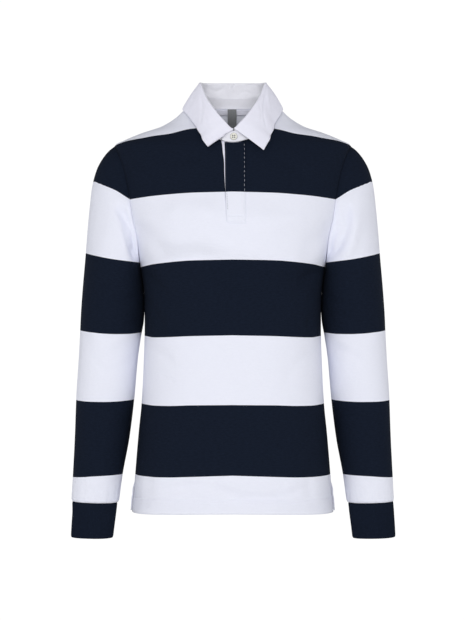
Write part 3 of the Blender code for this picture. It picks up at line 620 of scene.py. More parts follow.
def half_panel(side):
    """Half of a panel from the middle to +X, and each row's own height."""
    turn_of = 1.0 if side == "front" else -1.0
    low_rows = row_heights()
    middle = (SHOULDER_Z + ARMPIT_Z) / 2
    reach = (SHOULDER_Z - ARMPIT_Z) / 2
    yoke_z = middle + reach * math.cos(math.radians(YOKE_TURN))
    arm_rows = np.linspace(ARMPIT_Z, yoke_z, int((yoke_z - ARMPIT_Z) / ROW_STEP))
    arm_turns = np.degrees(np.arccos(np.clip((arm_rows - middle) / reach, -1.0, 1.0)))
    arm_edges = armhole_point(turn_of * arm_turns)
    z = np.concatenate([low_rows, arm_rows])
    edge_x = np.concatenate([body_size("half_width", low_rows), arm_edges[:, 0]])
    inner = np.linspace(0.0, SLIT_RIGHT, FINE + 1)[:-1]
    outer_count = (SIDE_COLUMNS + SHOULDER_COLUMNS) * FINE + 1
    rows = []
    for row_z, row_x in zip(z, edge_x):
        first = angle_at(SLIT_RIGHT, row_z)
        last = angle_at(row_x, row_z)
        fine = np.linspace(first, last, ARC_STEPS)
        places = body_point(fine, row_z)
        runs = np.concatenate([[0.0], np.cumsum(np.linalg.norm(np.diff(places, axis=0), axis=1))])
        angles = np.interp(np.linspace(0.0, runs[-1], outer_count), runs, fine)
        angles = np.concatenate([angle_at(inner, row_z), angles])
        rows.append(body_point(turn_of * angles, row_z))
    points = np.array(rows)
    rise = HEM_RISE_FRONT if side == "front" else HEM_RISE_BACK
    near = np.maximum(0.0, 1.0 - (z - HEM_SIDE_Z) / HEM_RISE_REACH)[:, None]
    share = np.minimum(np.abs(points[..., 0]) / body_size("half_width", z)[:, None], 1.0)
    points[..., 2] += rise * near * (1.0 - share**2)
    yoke = yoke_rows(side, points[-1], turn_of)
    return np.concatenate([points, yoke]), np.concatenate([z, yoke[:, 0, 2]])


def yoke_rows(side, base, turn_of):
    """Rows above the yoke line, fanning out to the neckline and the shoulder seam."""
    first = math.degrees(math.asin(SLIT_RIGHT / NECK_HALF_WIDTH))
    angles = np.concatenate([np.linspace(0.0, first, FINE + 1)[:-1],
                             np.linspace(first, 90.0, SIDE_COLUMNS * FINE + 1)])
    neck = neckline(angles if side == "front" else 180.0 - angles)
    shoulder_x = np.linspace(NECK_HALF_WIDTH, width_at(0.0, SHOULDER_Z),
                             SHOULDER_COLUMNS * FINE + 1)[1:]
    tops = np.concatenate([neck, stack(shoulder_x, 0.0, ridge_z(shoulder_x))])
    column = np.arange(len(base)) / FINE
    on_shoulder = smooth((column - SIDE_COLUMNS + 1.0) / 2.0)
    power = 1.0 + np.minimum(tops[:, 0] / NECK_HALF_WIDTH, 1.0) ** 2
    rows = []
    for i in range(1, YOKE_ROWS + 1):
        t = i / YOKE_ROWS
        edge = armhole_point(turn_of * YOKE_TURN * (1.0 - t))
        edge_share = (edge[0] - base[-1, 0]) / (tops[-1, 0] - base[-1, 0])
        share = t + (edge_share - t) * on_shoulder
        z = base[:, 2] + (tops[:, 2] - base[:, 2]) * (1.0 - (1.0 - t) ** power)
        x = base[:, 0] + (tops[:, 0] - base[:, 0]) * share
        row = stack(x, depth_at(x, z, side), z)
        row[-1] = edge
        rows.append(row if i < YOKE_ROWS else tops)
    return np.array(rows)


def hem_wave(x, side):
    """The turn-up's top line wanders a little where the hem was sewn."""
    shift = 0.0 if side == "front" else 2.0
    return 1.5 * np.sin(x / 24.0 + shift) + 1.0 * np.sin(x / 11.0 + 1.0 + shift)


def panel_grid(side, strength):
    """A whole panel: points and normals, and each row's own height."""
    half, heights = half_panel(side)
    out_sign = 1.0 if side == "front" else -1.0
    points = np.concatenate([half[:, :0:-1] * (-1.0, 1.0, 1.0), half], axis=1)
    middle = points.shape[1] // 2
    if side == "front":
        z = points[:, middle - FINE, 2]
        fade = smooth(1.0 - (SLIT_END_Z - z) / SLIT_EASE)
        shift = (SLIT_RIGHT + slit_left(z)) * fade
        column = np.arange(middle, middle - SLIT_COLUMNS * FINE, -1)
        away = (middle - column) / FINE
        weight = np.minimum(away, 1.0) * smooth((SLIT_COLUMNS - away) / (SLIT_COLUMNS - 1.0))
        x = points[:, column, 0] + shift[:, None] * weight
        points[:, column, 0] = x
        points[:, column, 1] = depth_at(x, points[:, column, 2], side)
    near_hem = np.exp(-((heights[:, None] - HEM_LINE_Z) / HEM_WAVE_REACH) ** 2)
    points[..., 2] += hem_wave(points[..., 0], side) * near_hem
    normals = grid_normals(points) * out_sign
    columns = np.arange(points.shape[1])
    from_edge = np.minimum(columns, columns[::-1]) * COLUMN_PITCH
    from_top = (np.arange(len(points))[::-1] * ROW_PITCH)[:, None]
    ease = smooth(from_edge / 16.0)[None, :] * smooth((from_top - 6.0) / 30.0)
    tables = (FRONT_CREASES, BACK_CREASES)
    points = relieved(points, normals, tables, BODY_SEED, ease, strength)
    turn_up = HEM_TURN_UP * smooth((HEM_LINE_Z + 2.0 - heights) / 4.0)[:, None]
    dip = -HEM_DIP * np.exp(-((heights - HEM_LINE_Z - 1.5) / 3.0) ** 2)[:, None]
    drawn = HEM_DRAW * np.exp(-((heights - HEM_LINE_Z) / HEM_DRAW_REACH) ** 2)[:, None]
    dip = dip - drawn * smooth(from_edge / 60.0)[None, :]
    deep = np.where(heights > ARMPIT_Z, ARMHOLE_DIP, SIDE_SEAM_DIP)
    roll = -np.exp(-(from_edge / 3.4) ** 2)[None, :] * deep[:, None]
    roll = roll * smooth((heights - VENT_TOP_Z + 6.0) / 12.0)[:, None]
    lift = turn_up + dip + roll
    points = points + grid_normals(points) * out_sign * lift[..., None]
    for column, sign in ((0, -1.0), (-1, 1.0)):
        points[:, column, 1] += SEAM_GAP if side == "back" else -SEAM_GAP
        if side == "back":
            out = smooth((VENT_TOP_Z - heights) / VENT_EASE)
            for k in range(VENT_COLUMNS):
                at = column + k if column == 0 else column - k
                points[:, at, 0] += sign * VENT_SPREAD * out * (1.0 - k / VENT_COLUMNS) ** 2
    return points, grid_normals(points) * out_sign, heights


def stripe_level(table, points):
    """How many colour changes lie above each point, with a share to the next one."""
    away, z = np.abs(points[..., 0]), points[..., 2]
    lines = [read(table, STRIPE_COLUMNS, name, away) for name in STRIPE_COLUMNS[1:]]
    level = (lines[0] - z) / (lines[0] - lines[1])
    for k in range(1, len(lines) - 1):
        level = np.where(z < lines[k], k + (lines[k] - z) / (lines[k] - lines[k + 1]), level)
    last = lines[-1]
    return np.where(z < last, len(lines) - 1 + np.minimum((last - z) / 100.0, 0.99), level)


# ================================================================ meshes
def cloth_uv(points, closed=False):
    """UV in metres: across along each row, up along the middle column."""
    if closed:
        points = np.concatenate([points, points[:, :1]], axis=1)
    across = np.linalg.norm(np.diff(points, axis=1), axis=2)
    u = np.concatenate([np.zeros((len(points), 1)), np.cumsum(across, axis=1)], axis=1)
    u -= u[:, u.shape[1] // 2:u.shape[1] // 2 + 1]
    up = np.linalg.norm(np.diff(points, axis=0), axis=2)
    v = np.concatenate([np.zeros((1, points.shape[1])), np.cumsum(up, axis=0)])
    return np.stack([u, v], axis=-1) * MM


def link(piece):
    bpy.context.scene.collection.objects.link(piece)
    return piece


def cloth_piece(name, points, thickness, slot, closed=False, keep=None, **levels):
    """A piece of cloth from a grid of points whose faces point out, with its wall behind."""
    rows, columns = points.shape[:2]
    index = np.arange(rows * columns).reshape(rows, columns)
    right = np.roll(index, -1, axis=1) if closed else index[:, 1:]
    left = index if closed else index[:, :-1]
    quads = np.stack([left[:-1], right[:-1], right[1:], left[1:]], axis=-1)
    uv = cloth_uv(points, closed)
    corners = np.stack([uv[:-1, :-1], uv[:-1, 1:], uv[1:, 1:], uv[1:, :-1]], axis=2)
    if keep is not None:
        quads, corners = quads[keep], corners[keep]
    quads, corners = quads.reshape(-1, 4), corners.reshape(-1, 2)
    used, flat = np.unique(quads, return_inverse=True)
    mesh = bpy.data.meshes.new(name)
    mesh.from_pydata((points.reshape(-1, 3)[used] * MM).tolist(), [], flat.reshape(-1, 4).tolist())
    layer = mesh.uv_layers.new(name="cloth")
    layer.data.foreach_set("uv", corners.ravel().astype(np.float32))
    for attribute, values in levels.items():
        level = mesh.attributes.new(attribute, "FLOAT", "POINT")
        values = np.broadcast_to(values, (rows, columns))
        level.data.foreach_set("value", values.reshape(-1)[used].astype(np.float32))
    mesh.shade_smooth()
    mesh.materials.append(finish(slot))
    piece = link(bpy.data.objects.new(name, mesh))
    wall = piece.modifiers.new("wall", "SOLIDIFY")
    wall.thickness = thickness * MM
    wall.offset = -1.0
    wall.use_quality_normals = True
    return piece


def worn(piece, node):
    """The piece moves with the shirt and stands for its node of the frame."""
    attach(piece, "root")
    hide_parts(node)


STITCH_GIRTH = (0.45, 0.9, 1.0, 0.9, 0.45)      # shares of a stitch's radius along it
STITCH_ARCH = 0.55      # shares of its radius that its middle rises and its ends sink
STITCH_SINK = 0.35


def resampled(line, normals, pitch):
    """Places at equal steps along a line of points, with their normals and directions."""
    runs = np.concatenate([[0.0], np.cumsum(np.linalg.norm(np.diff(line, axis=0), axis=1))])
    count = max(2, int(runs[-1] / pitch))
    at = (np.arange(count) + 0.5) * runs[-1] / count

    def read_at(where, values):
        return np.stack([np.interp(where, runs, values[:, k]) for k in range(3)], axis=-1)
    along = read_at(at + 0.3, line) - read_at(at - 0.3, line)
    return read_at(at, line), unit(read_at(at, normals)), unit(along)


def stitches(name, lines, radius, slot="white_thread", pitch=None, length=None):
    """Rows of sewn stitches, each a short thread that dips into the cloth at its ends.

    Their pitch and length are the ones of the shirt's sizes, unless they are given.
    """
    sizes = bpy.context.scene.shirt_sizes
    pitch = pitch or sizes.stitch_pitch / MM
    length = length or sizes.stitch_length / MM
    sides, rings = 6, len(STITCH_GIRTH)
    share = np.linspace(-1.0, 1.0, rings)
    girth = np.array(STITCH_GIRTH) * radius
    height = (1.0 - share**2) * STITCH_ARCH * radius - STITCH_SINK * radius
    turns = np.radians(np.arange(sides) * 360.0 / sides)
    verts, faces = [], []
    for line, normals in lines:
        for place, facing, along in zip(*resampled(line, normals, pitch)):
            across = np.cross(facing, along)
            base = len(verts)
            for k in range(rings):
                middle = place + along * share[k] * length / 2 + facing * height[k]
                for turn in turns:
                    verts.append((middle + girth[k] * (math.cos(turn) * across
                                                       + math.sin(turn) * facing)) * MM)
            for k in range(rings - 1):
                for j in range(sides):
                    a, b = base + k * sides + j, base + k * sides + (j + 1) % sides
                    faces.append((a, b, b + sides, a + sides))
            faces.append(tuple(base + j for j in reversed(range(sides))))
            faces.append(tuple(base + (rings - 1) * sides + j for j in range(sides)))
    mesh = bpy.data.meshes.new(name)
    mesh.from_pydata([tuple(v) for v in verts], [], faces)
    mesh.shade_smooth()
    mesh.materials.append(finish(slot))
    piece = link(bpy.data.objects.new(name, mesh))
    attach(piece, "root")


# ================================================================ materials
def srgb(hex_colour, alpha=1.0):
    """A colour given as sRGB hex, turned to linear."""
    channels = [int(hex_colour[k:k + 2], 16) / 255.0 for k in (1, 3, 5)]
    return tuple(c / 12.92 if c <= 0.04045 else ((c + 0.055) / 1.055) ** 2.4
                 for c in channels) + (alpha,)


def new_material(name, roughness, **settings):
    """A new material and its shader. A setting has its socket's name."""
    made = bpy.data.materials.new(name)
    made.use_nodes = True
    shader = made.node_tree.nodes["Principled BSDF"]
    shader.inputs["Roughness"].default_value = roughness
    for socket, value in settings.items():
        shader.inputs[socket.replace("_", " ")].default_value = value
    return made, shader


def feed(material, socket, value):
    """Feed a socket from another socket, or set it to a value."""
    if isinstance(value, bpy.types.NodeSocket):
        material.node_tree.links.new(value, socket)
    else:
        socket.default_value = value


def add(material, kind, *values, out=0, **named):
    """Add a node with its settings and links, and give one of its outputs.

    Values feed its inputs in their order. A named value is a setting where its name starts
    with a small letter, an input where it starts with a capital, and in6 is input 6.
    """
    node = material.node_tree.nodes.new("ShaderNode" + kind)
    feeds = list(enumerate(values))
    for name, value in named.items():
        if name[:2] == "in" and name[2:].isdigit():
            feeds.append((int(name[2:]), value))
        elif name[0].isupper():
            feeds.append((name.replace("_", " "), value))
        else:
            setattr(node, name, value)
    for key, value in feeds:
        feed(material, node.inputs[key], value)
    return node.outputs[out]


def cloth_place(material):
    """A place on the cloth in metres: as one vector, across and up."""
    uv = add(material, "UVMap", uv_map="cloth")
    parts = add(material, "SeparateXYZ", uv).node.outputs
    return uv, parts["X"], parts["Y"]


def ridges(material, value, pitch):
    """Even ridges over a distance, one to a pitch."""
    turns = add(material, "Math", value, math.tau / pitch, operation="MULTIPLY")
    return add(material, "Math", turns, operation="SINE")


def knit_height(material, x, y, wale, course):
    """Plain knit: columns of V-shaped loops, wale and course apart, in metres."""
    column = add(material, "Math", x, wale, operation="DIVIDE")
    row = add(material, "Math", y, course, operation="DIVIDE")
    share = add(material, "Math", column, operation="FRACT")
    from_middle = add(material, "Math", share, 0.5, operation="SUBTRACT")
    side = add(material, "Math", from_middle, operation="ABSOLUTE")
    fall = add(material, "Math", side, LOOP_SLANT, operation="MULTIPLY")
    up = add(material, "Math", row, fall, operation="SUBTRACT")
    loop = add(material, "Math", ridges(material, up, 1.0), LOOP_RISE, operation="ADD")
    return add(material, "Math", loop, ridges(material, side, 1.0), operation="MULTIPLY")


def mottle(material, uv, scale, low, high, stretch=1.0):
    """Uneven yarn: a noise stretched along the courses, between two strengths."""
    place = add(material, "Mapping", Vector=uv, Scale=(1.0, stretch, 1.0))
    noise = add(material, "TexNoise", Vector=place, Scale=scale, Detail=4.0, Roughness=0.6, out="Fac")
    return add(material, "MapRange", Value=noise, From_Min=0.25, From_Max=0.75, To_Min=low,
               To_Max=high)


def tinted(material, colour, strength):
    """A colour made lighter or darker by a strength."""
    return add(material, "VectorMath", tuple(colour)[:3], Scale=strength, operation="SCALE")


def bumped(material, shader, height, distance, strength, below=None):
    """Bumps of a height over those below them, which the shader takes up."""
    bump = add(material, "Bump", Height=height, Distance=distance, Strength=strength)
    if below is not None:
        feed(material, bump.node.inputs["Normal"], below)
    feed(material, shader.inputs["Normal"], bump)
    return bump


def radius_of(material, x, y):
    """Distance of a place from the middle."""
    squares = [add(material, "Math", side, 2.0, operation="POWER") for side in (x, y)]
    total = add(material, "Math", *squares, operation="ADD")
    return add(material, "Math", total, operation="SQRT")


# Distances of the bumps are in metres, scales of the noises in repeats to a metre.
COTTON = {"Sheen_Weight": 0.003, "Sheen_Roughness": 0.5, "Specular_IOR_Level": 0.05}
LOOP_SLANT = 1.5        # courses that a loop's legs fall over the width of one wale
LOOP_RISE = 1.6         # how full a loop stays between its highest places
RIB_WALE = 0.8          # a rib's loops have this share of the jersey's loops' width
HERRINGBONE = 0.003     # height over which the tape's twill keeps its direction
LABEL_PICK = 0.0006     # distance between the label's picks
BUTTON_RIM_TONE_AND_SHADE = (0.0052, 0.0063)       # radii between which the button's rim turns darker, partly in the resin's own colour and partly as painted shade
BUTTON_HOLE_SHADE = (0.0009, 0.0014)      # distances from a hole's middle between which its painted shade fades out


def striped_jersey():
    """Heavy cotton single jersey, knitted in stripes and brushed by washing: matt, with a
    soft sheen of lint at grazing angles and slightly uneven yarn along its courses."""
    look, sizes = bpy.context.scene.shirt_look, bpy.context.scene.shirt_sizes
    made, shader = new_material("striped cotton jersey", 0.92, **COTTON)
    uv, x, y = cloth_place(made)
    height = knit_height(made, x, y, sizes.wale, sizes.course)
    level = add(made, "Attribute", attribute_name="stripe", out="Fac")
    odd = add(made, "Math", level, 2.0, operation="FLOORED_MODULO")
    is_navy = add(made, "Math", odd, 1.0, operation="LESS_THAN")
    pale = tinted(made, look.white, mottle(made, uv, scale=160.0, low=0.985, high=1.01, stretch=2.2))
    dark = tinted(made, look.navy, mottle(made, uv, scale=150.0, low=0.80, high=1.24, stretch=3.5))
    colour = add(made, "Mix", is_navy, in6=pale, in7=dark, data_type="RGBA", out=2)
    feed(made, shader.inputs["Base Color"], colour)
    slub = mottle(made, uv, scale=90.0, low=0.0, high=1.0, stretch=3.0)
    below = bumped(made, shader, slub, distance=0.0006, strength=0.35)
    bumped(made, shader, height, distance=0.00025, strength=0.30, below=below)
    return made


def navy_rib():
    """Cotton rib knit: the ribs are in the mesh, and this adds its loops and matt lint."""
    look, sizes = bpy.context.scene.shirt_look, bpy.context.scene.shirt_sizes
    made, shader = new_material("navy cotton rib", 0.92, **COTTON)
    uv, x, y = cloth_place(made)
    height = knit_height(made, x, y, sizes.wale * RIB_WALE, sizes.course)
    yarn = mottle(made, uv, scale=170.0, low=0.84, high=1.18, stretch=2.0)
    feed(made, shader.inputs["Base Color"], tinted(made, look.navy, yarn))
    bumped(made, shader, height, distance=0.0002, strength=0.3)
    return made


def white_twill():
    """Bleached cotton twill, washed: matt, with fine diagonal lines and faint puckers. Where the inside
    attribute is set it takes a lighter colour, which is painted light standing in for light that the
    collar's inside does not get.
    """
    look, sizes = bpy.context.scene.shirt_look, bpy.context.scene.shirt_sizes
    made, shader = new_material("white cotton twill", 0.85, Sheen_Weight=0.02,
                                Sheen_Roughness=0.5, Specular_IOR_Level=0.1)
    uv, x, y = cloth_place(made)
    line = ridges(made, add(made, "Math", x, y, operation="ADD"), sizes.twill_line)
    outside = tinted(made, look.collar, mottle(made, uv, scale=120.0, low=0.98, high=1.01))
    # painted light: inner faces get a lighter colour than outer ones, in place of the light that the
    # inside of the collar lacks
    inside_colour_painted_lighter = tinted(made, look.inside_painted_lighter, mottle(made, uv, scale=120.0, low=0.97, high=1.0))
    inside = add(made, "Attribute", attribute_name="inside", out="Fac")
    colour = add(made, "Mix", inside, in6=outside, in7=inside_colour_painted_lighter, data_type="RGBA", out=2)
    feed(made, shader.inputs["Base Color"], colour)
    pucker = mottle(made, uv, scale=45.0, low=0.0, high=1.0)
    below = bumped(made, shader, pucker, distance=0.0010, strength=0.30)
    bumped(made, shader, line, distance=0.00012, strength=0.25, below=below)
    return made


def herringbone_tape():
    """White cotton herringbone tape: a zigzag twill that turns every 3 mm."""
    look, sizes = bpy.context.scene.shirt_look, bpy.context.scene.shirt_sizes
    made, shader = new_material("white herringbone tape", 0.85, Specular_IOR_Level=0.1)
    uv, x, y = cloth_place(made)
    zigzag = add(made, "Math", y, HERRINGBONE, operation="PINGPONG")
    line = ridges(made, add(made, "Math", x, zigzag, operation="ADD"), sizes.twill_line)
    yarn = mottle(made, uv, scale=150.0, low=0.95, high=1.0)
    feed(made, shader.inputs["Base Color"], tinted(made, look.collar, yarn))
    bumped(made, shader, line, distance=0.0002, strength=0.5)
    return made


def woven_label():
    """Dark grey damask label, left blank: fine even picks with a slight satin."""
    look = bpy.context.scene.shirt_look
    made, shader = new_material("grey woven label", 0.55, Specular_IOR_Level=0.4)
    uv, _, up = cloth_place(made)
    yarn = mottle(made, uv, scale=300.0, low=0.9, high=1.1)
    feed(made, shader.inputs["Base Color"], tinted(made, look.label, yarn))
    bumped(made, shader, ridges(made, up, LABEL_PICK), distance=0.0001, strength=0.3)
    return made


def thread_of(name, colour):
    """Spun polyester sewing thread: two plies with a slight gloss."""
    made, shader = new_material(name, 0.6, Specular_IOR_Level=0.45)
    place = add(made, "TexCoord", out="Object")
    ply = add(made, "TexWave", Vector=place, Scale=700.0, bands_direction="DIAGONAL", out="Fac")
    shade = add(made, "MapRange", Value=ply, To_Min=0.88, To_Max=1.04)
    feed(made, shader.inputs["Base Color"], tinted(made, colour, shade))
    return made


def button_resin():
    """Cast polyester resin, tumbled: satin and faintly cloudy. Its holes are darkened with painted
    shade, and its rim is darker partly in its own colour and partly by painted shade.
    """
    look = bpy.context.scene.shirt_look
    made, shader = new_material("cream polyester button", 0.42, Specular_IOR_Level=0.3)
    place = add(made, "TexCoord", out="Object")
    cloud = add(made, "TexNoise", Vector=place, Scale=260.0, Detail=3.0, out="Fac")
    shade = add(made, "MapRange", Value=cloud, To_Min=0.93, To_Max=1.05)
    parts = add(made, "SeparateXYZ", place).node.outputs
    from_holes = []
    for axis in ("X", "Y"):
        away = add(made, "Math", parts[axis], operation="ABSOLUTE")
        from_holes.append(add(made, "Math", away, HOLE_OFFSET * MM, operation="SUBTRACT"))
    # painted shade in the holes, and a darker rim that is partly the resin's own colour and partly
    # painted shade
    for distance, (start, end), low, high in (
            (radius_of(made, parts["X"], parts["Y"]), BUTTON_RIM_TONE_AND_SHADE, 1.0, 0.5),
            (radius_of(made, *from_holes), BUTTON_HOLE_SHADE, 0.04, 1.0)):
        soft = add(made, "MapRange", Value=distance, From_Min=start, From_Max=end, To_Min=low,
                   To_Max=high, interpolation_type="SMOOTHSTEP")
        shade = add(made, "Math", shade, soft, operation="MULTIPLY")
    feed(made, shader.inputs["Base Color"], tinted(made, look.button, shade))
    return made


def plain_paper():
    """Matt studio paper under the shirt."""
    made, shader = new_material("pale studio paper", 0.95, Specular_IOR_Level=0.1)
    place = add(made, "TexCoord", out="Object")
    grain = add(made, "TexNoise", Vector=place, Scale=40.0, Detail=3.0, out="Fac")
    shade = add(made, "MapRange", Value=grain, To_Min=0.99, To_Max=1.01)
    feed(made, shader.inputs["Base Color"], tinted(made, srgb("#F2F2F2"), shade))
    return made


MAKERS = {
    "striped_jersey": striped_jersey, "navy_rib": navy_rib, "white_twill": white_twill,
    "neck_tape": herringbone_tape, "grey_label": woven_label, "button": button_resin,
    "white_thread": lambda: thread_of("white sewing thread", bpy.context.scene.shirt_look.white),
    "navy_thread": lambda: thread_of("navy sewing thread", bpy.context.scene.shirt_look.navy_thread),
}
finishes = {}


def finish(slot):
    """The material of a slot, made the first time it is asked for."""
    if slot not in finishes:
        finishes[slot] = MAKERS[slot]()
    return finishes[slot]


# ================================================================ pieces
def make_front():
    strength = bpy.context.scene.shirt_sizes.crease_strength
    points = panel_grid("front", strength)[0]
    middle = points.shape[1] // 2
    open_row = int(np.argmin(np.abs(points[:, middle, 2] - SLIT_END_Z)))
    keep = np.ones((points.shape[0] - 1, points.shape[1] - 1), bool)
    keep[open_row:, middle - FINE:middle + FINE] = False
    piece = cloth_piece("front_panel", points, JERSEY, "striped_jersey", keep=keep,
                        stripe=stripe_level(FRONT_STRIPES, points))
    worn(piece, "front")


def make_back():
    strength = bpy.context.scene.shirt_sizes.crease_strength
    points = panel_grid("back", strength)[0][:, ::-1]
    piece = cloth_piece("back_panel", points, JERSEY, "striped_jersey",
                        stripe=stripe_level(BACK_STRIPES, points))
    worn(piece, "back")


def ring_of(size, across, deep):
    outer = stack(size["outer_x"], size["middle_y"], size["outer_z"])
    inner = stack(size["inner_x"], size["middle_y"], size["inner_z"])
    share = (0.5 - 0.5 * across)[..., None]
    oval = outer + (inner - outer) * share
    oval[..., 1] -= size["half_depth"] * deep
    return oval


def tube_grid(table, side, runs_at, sides, blend=0.0):
    """Rings of a tube as a smooth loft, from its lower end up: points, their normals, each
    ring's distance from the top, and each column's turn."""
    keyed, run = [], 0.0
    for i, row in enumerate(table):
        if i:
            last = table[i - 1]
            run += 0.5 * (math.hypot(row[0] - last[0], row[1] - last[1])
                          + math.hypot(row[2] - last[2], row[3] - last[3]))
        keyed.append((run,) + row)
    names = ("run",) + SLEEVE_COLUMNS
    at = runs_at(run)[:, None]
    turn = (np.arange(sides) * 360.0 / sides)[None, :]
    power = 2.0 / SLEEVE_SQUARENESS
    across = signed_power(np.cos(np.radians(turn)), power)
    deep = signed_power(np.sin(np.radians(turn)), power)
    size = {name: read(keyed, names, name, at) for name in SLEEVE_COLUMNS}
    points = ring_of(size, across, deep)
    if blend:
        first = {name: np.full((1, 1), value) for name, value in zip(SLEEVE_COLUMNS, table[0])}
        seam = armhole_point(turn)
        near = np.maximum(0.0, 1.0 - at / blend) ** 2
        points = points + (seam - ring_of(first, across, deep)) * near[..., None]
    points, runs = points[::-1, ::-1], at[::-1, 0]
    if side < 0:
        points = points[:, ::-1] * (-1.0, 1.0, 1.0)
    around = np.linspace(0.0, math.tau, sides, endpoint=False)[None, :]
    return points, grid_normals(points, closed=True), runs, around


def sleeve_runs(length):
    """Rows of a sleeve, closer together at the armhole seam."""
    near = np.arange(0.0, SEAM_REACH, SEAM_STEP)
    rest = int((length - SEAM_REACH) / SLEEVE_STEP)
    return np.concatenate([near, np.linspace(SEAM_REACH, length, rest)])


def cuff_runs(length):
    return np.linspace(0.0, 1.0, CUFF_ROWS) * length


def sleeve_grid(side, strength):
    """A sleeve: creased, gathered into its cuff and drawn in at both of its seams."""
    points, normals, runs, around = tube_grid(SLEEVE_RINGS, side, sleeve_runs, SLEEVE_SIDES,
                                              SLEEVE_BLEND)
    length = runs[0]
    ease = (smooth((runs - 1.0) / 13.0) * smooth((length - runs) / 8.0))[:, None]
    tables = ((LEFT_SLEEVE_FRONT_CREASES, LEFT_SLEEVE_BACK_CREASES) if side > 0
              else (RIGHT_SLEEVE_FRONT_CREASES, RIGHT_SLEEVE_BACK_CREASES))
    seed = LEFT_SLEEVE_SEED if side > 0 else RIGHT_SLEEVE_SEED
    points = relieved(points, normals, tables, seed, ease, strength)
    gathers = 0.30 * np.sin(17.0 * around + side) + 0.18 * np.sin(29.0 * around + 2.0 * side)
    gathers = gathers * (smooth(1.0 - (length - runs) / GATHER_REACH)
                         * smooth((length - runs) / 3.0))[:, None]
    roll = (-SLEEVE_DIP * np.exp(-(runs / 3.0) ** 2)
            - 1.0 * np.exp(-((length - runs) / 2.5) ** 2))[:, None]
    normals = grid_normals(points, closed=True)
    points = points + normals * (gathers * strength + roll)[..., None]
    inward = unit(points[-1] - points[-4])
    points = points + SLEEVE_UNDER * inward * np.exp(-(runs / 2.2) ** 2)[:, None, None]
    return points


def make_sleeves():
    strength = bpy.context.scene.shirt_sizes.crease_strength
    for name, side in (("sleeve_left", 1), ("sleeve_right", -1)):
        points = sleeve_grid(side, strength)
        piece = cloth_piece(name + "_cloth", points, JERSEY, "striped_jersey", closed=True,
                            stripe=stripe_level(SLEEVE_STRIPES, points))
        worn(piece, name)


def cuff_grid(side):
    """A rib cuff: its ribs stand out, and it is rolled in at its seam and its fold."""
    points, normals, runs, around = tube_grid(CUFF_RINGS, side, cuff_runs, RIBS * RIB_SIDES)
    rib = bpy.context.scene.shirt_sizes.rib_height / MM * np.cos(RIBS * around)
    length = runs[0]
    roll = -1.1 * np.exp(-(runs / 1.6) ** 2) - 1.0 * np.exp(-((length - runs) / 1.6) ** 2)
    wave = 0.5 * np.sin(2.0 * around + side) + 0.35 * np.sin(5.0 * around + 2.0 * side)
    lift = (rib + wave * smooth(runs / 20.0)[:, None]) + roll[:, None]
    return points + normals * lift[..., None]


def make_cuffs():
    for name, side in (("cuff_left", 1), ("cuff_right", -1)):
        piece = cloth_piece(name + "_rib", cuff_grid(side), RIB, "navy_rib", closed=True)
        worn(piece, name)


# ---------------------------------------------------------------- collar
def away_from_front(angle):
    return np.abs((angle + 180.0) % 360.0 - 180.0)


def outward(angle):
    return stack(np.sin(np.radians(angle)), -np.cos(np.radians(angle)), 0.0)


def lap(angle):
    """How far the upper end of the stand lies over the lower one."""
    return STAND_LAP * np.clip((STAND_LAP_END - angle) / STAND_LAP_FADE, 0.0, 1.0)


def ring_point(angle, width_name, y_name, z_name):
    away = away_from_front(angle)
    x = read(COLLAR, COLLAR_COLUMNS, width_name, away) * np.sin(np.radians(angle))
    return stack(x, read(COLLAR, COLLAR_COLUMNS, y_name, away),
                 read(COLLAR, COLLAR_COLUMNS, z_name, away))


def stand_point(angle, share):
    low = neckline(angle) + (0.0, 0.0, STAND_GAP)
    top = ring_point(angle, "stand_half_width", "stand_y", "stand_top_z")
    share = np.asarray(share)[..., None]
    return low + (top - low) * share + outward(angle) * lap(angle)[..., None]


def stand_grid():
    angles = np.linspace(STAND_START, STAND_END, COLLAR_SECTIONS + 20)
    from_end = np.minimum(angles - STAND_START, STAND_END - angles)
    bend = np.maximum(0.0, 1.0 - from_end / STAND_CORNER_TURN)
    corner = STAND_CORNER + (1.0 - STAND_CORNER) * np.sqrt(np.maximum(0.0, 1.0 - bend**2))
    shares = np.linspace(0.0, 1.0, STAND_ROWS)
    points = np.array([stand_point(angles, corner * share) for share in shares])
    height = shares[:, None]
    ends = smooth(from_end / 5.0)[None, :]
    soft = 0.35 * np.sin(angles / 9.0)[None, :] * np.sin(math.pi * height) * ends
    roll = -0.7 * np.exp(-(height * STAND_ROWS / 2.0) ** 2)
    return points + grid_normals(points) * (soft + roll)[..., None]


def make_collar_stand():
    # the whole stand, on both faces, takes the lighter inside colour: painted light in place of the
    # shade inside the collar
    piece = cloth_piece("collar_stand_twill", stand_grid(), STAND, "white_twill", inside=1.0)
    worn(piece, "collar_stand")


def leaf_edge(angle):
    away = away_from_front(angle)
    places = []
    for table, sign in ((LEAF_EDGE_LEFT, 1.0), (LEAF_EDGE_RIGHT, -1.0)):
        size = {name: read(table, EDGE_COLUMNS, name, away) for name in EDGE_COLUMNS[1:]}
        places.append(off_body(size["body_angle"], size["body_z"], size["lift"]) * (sign, 1.0, 1.0))
    return np.where((angle < 180.0)[..., None], places[0], places[1])


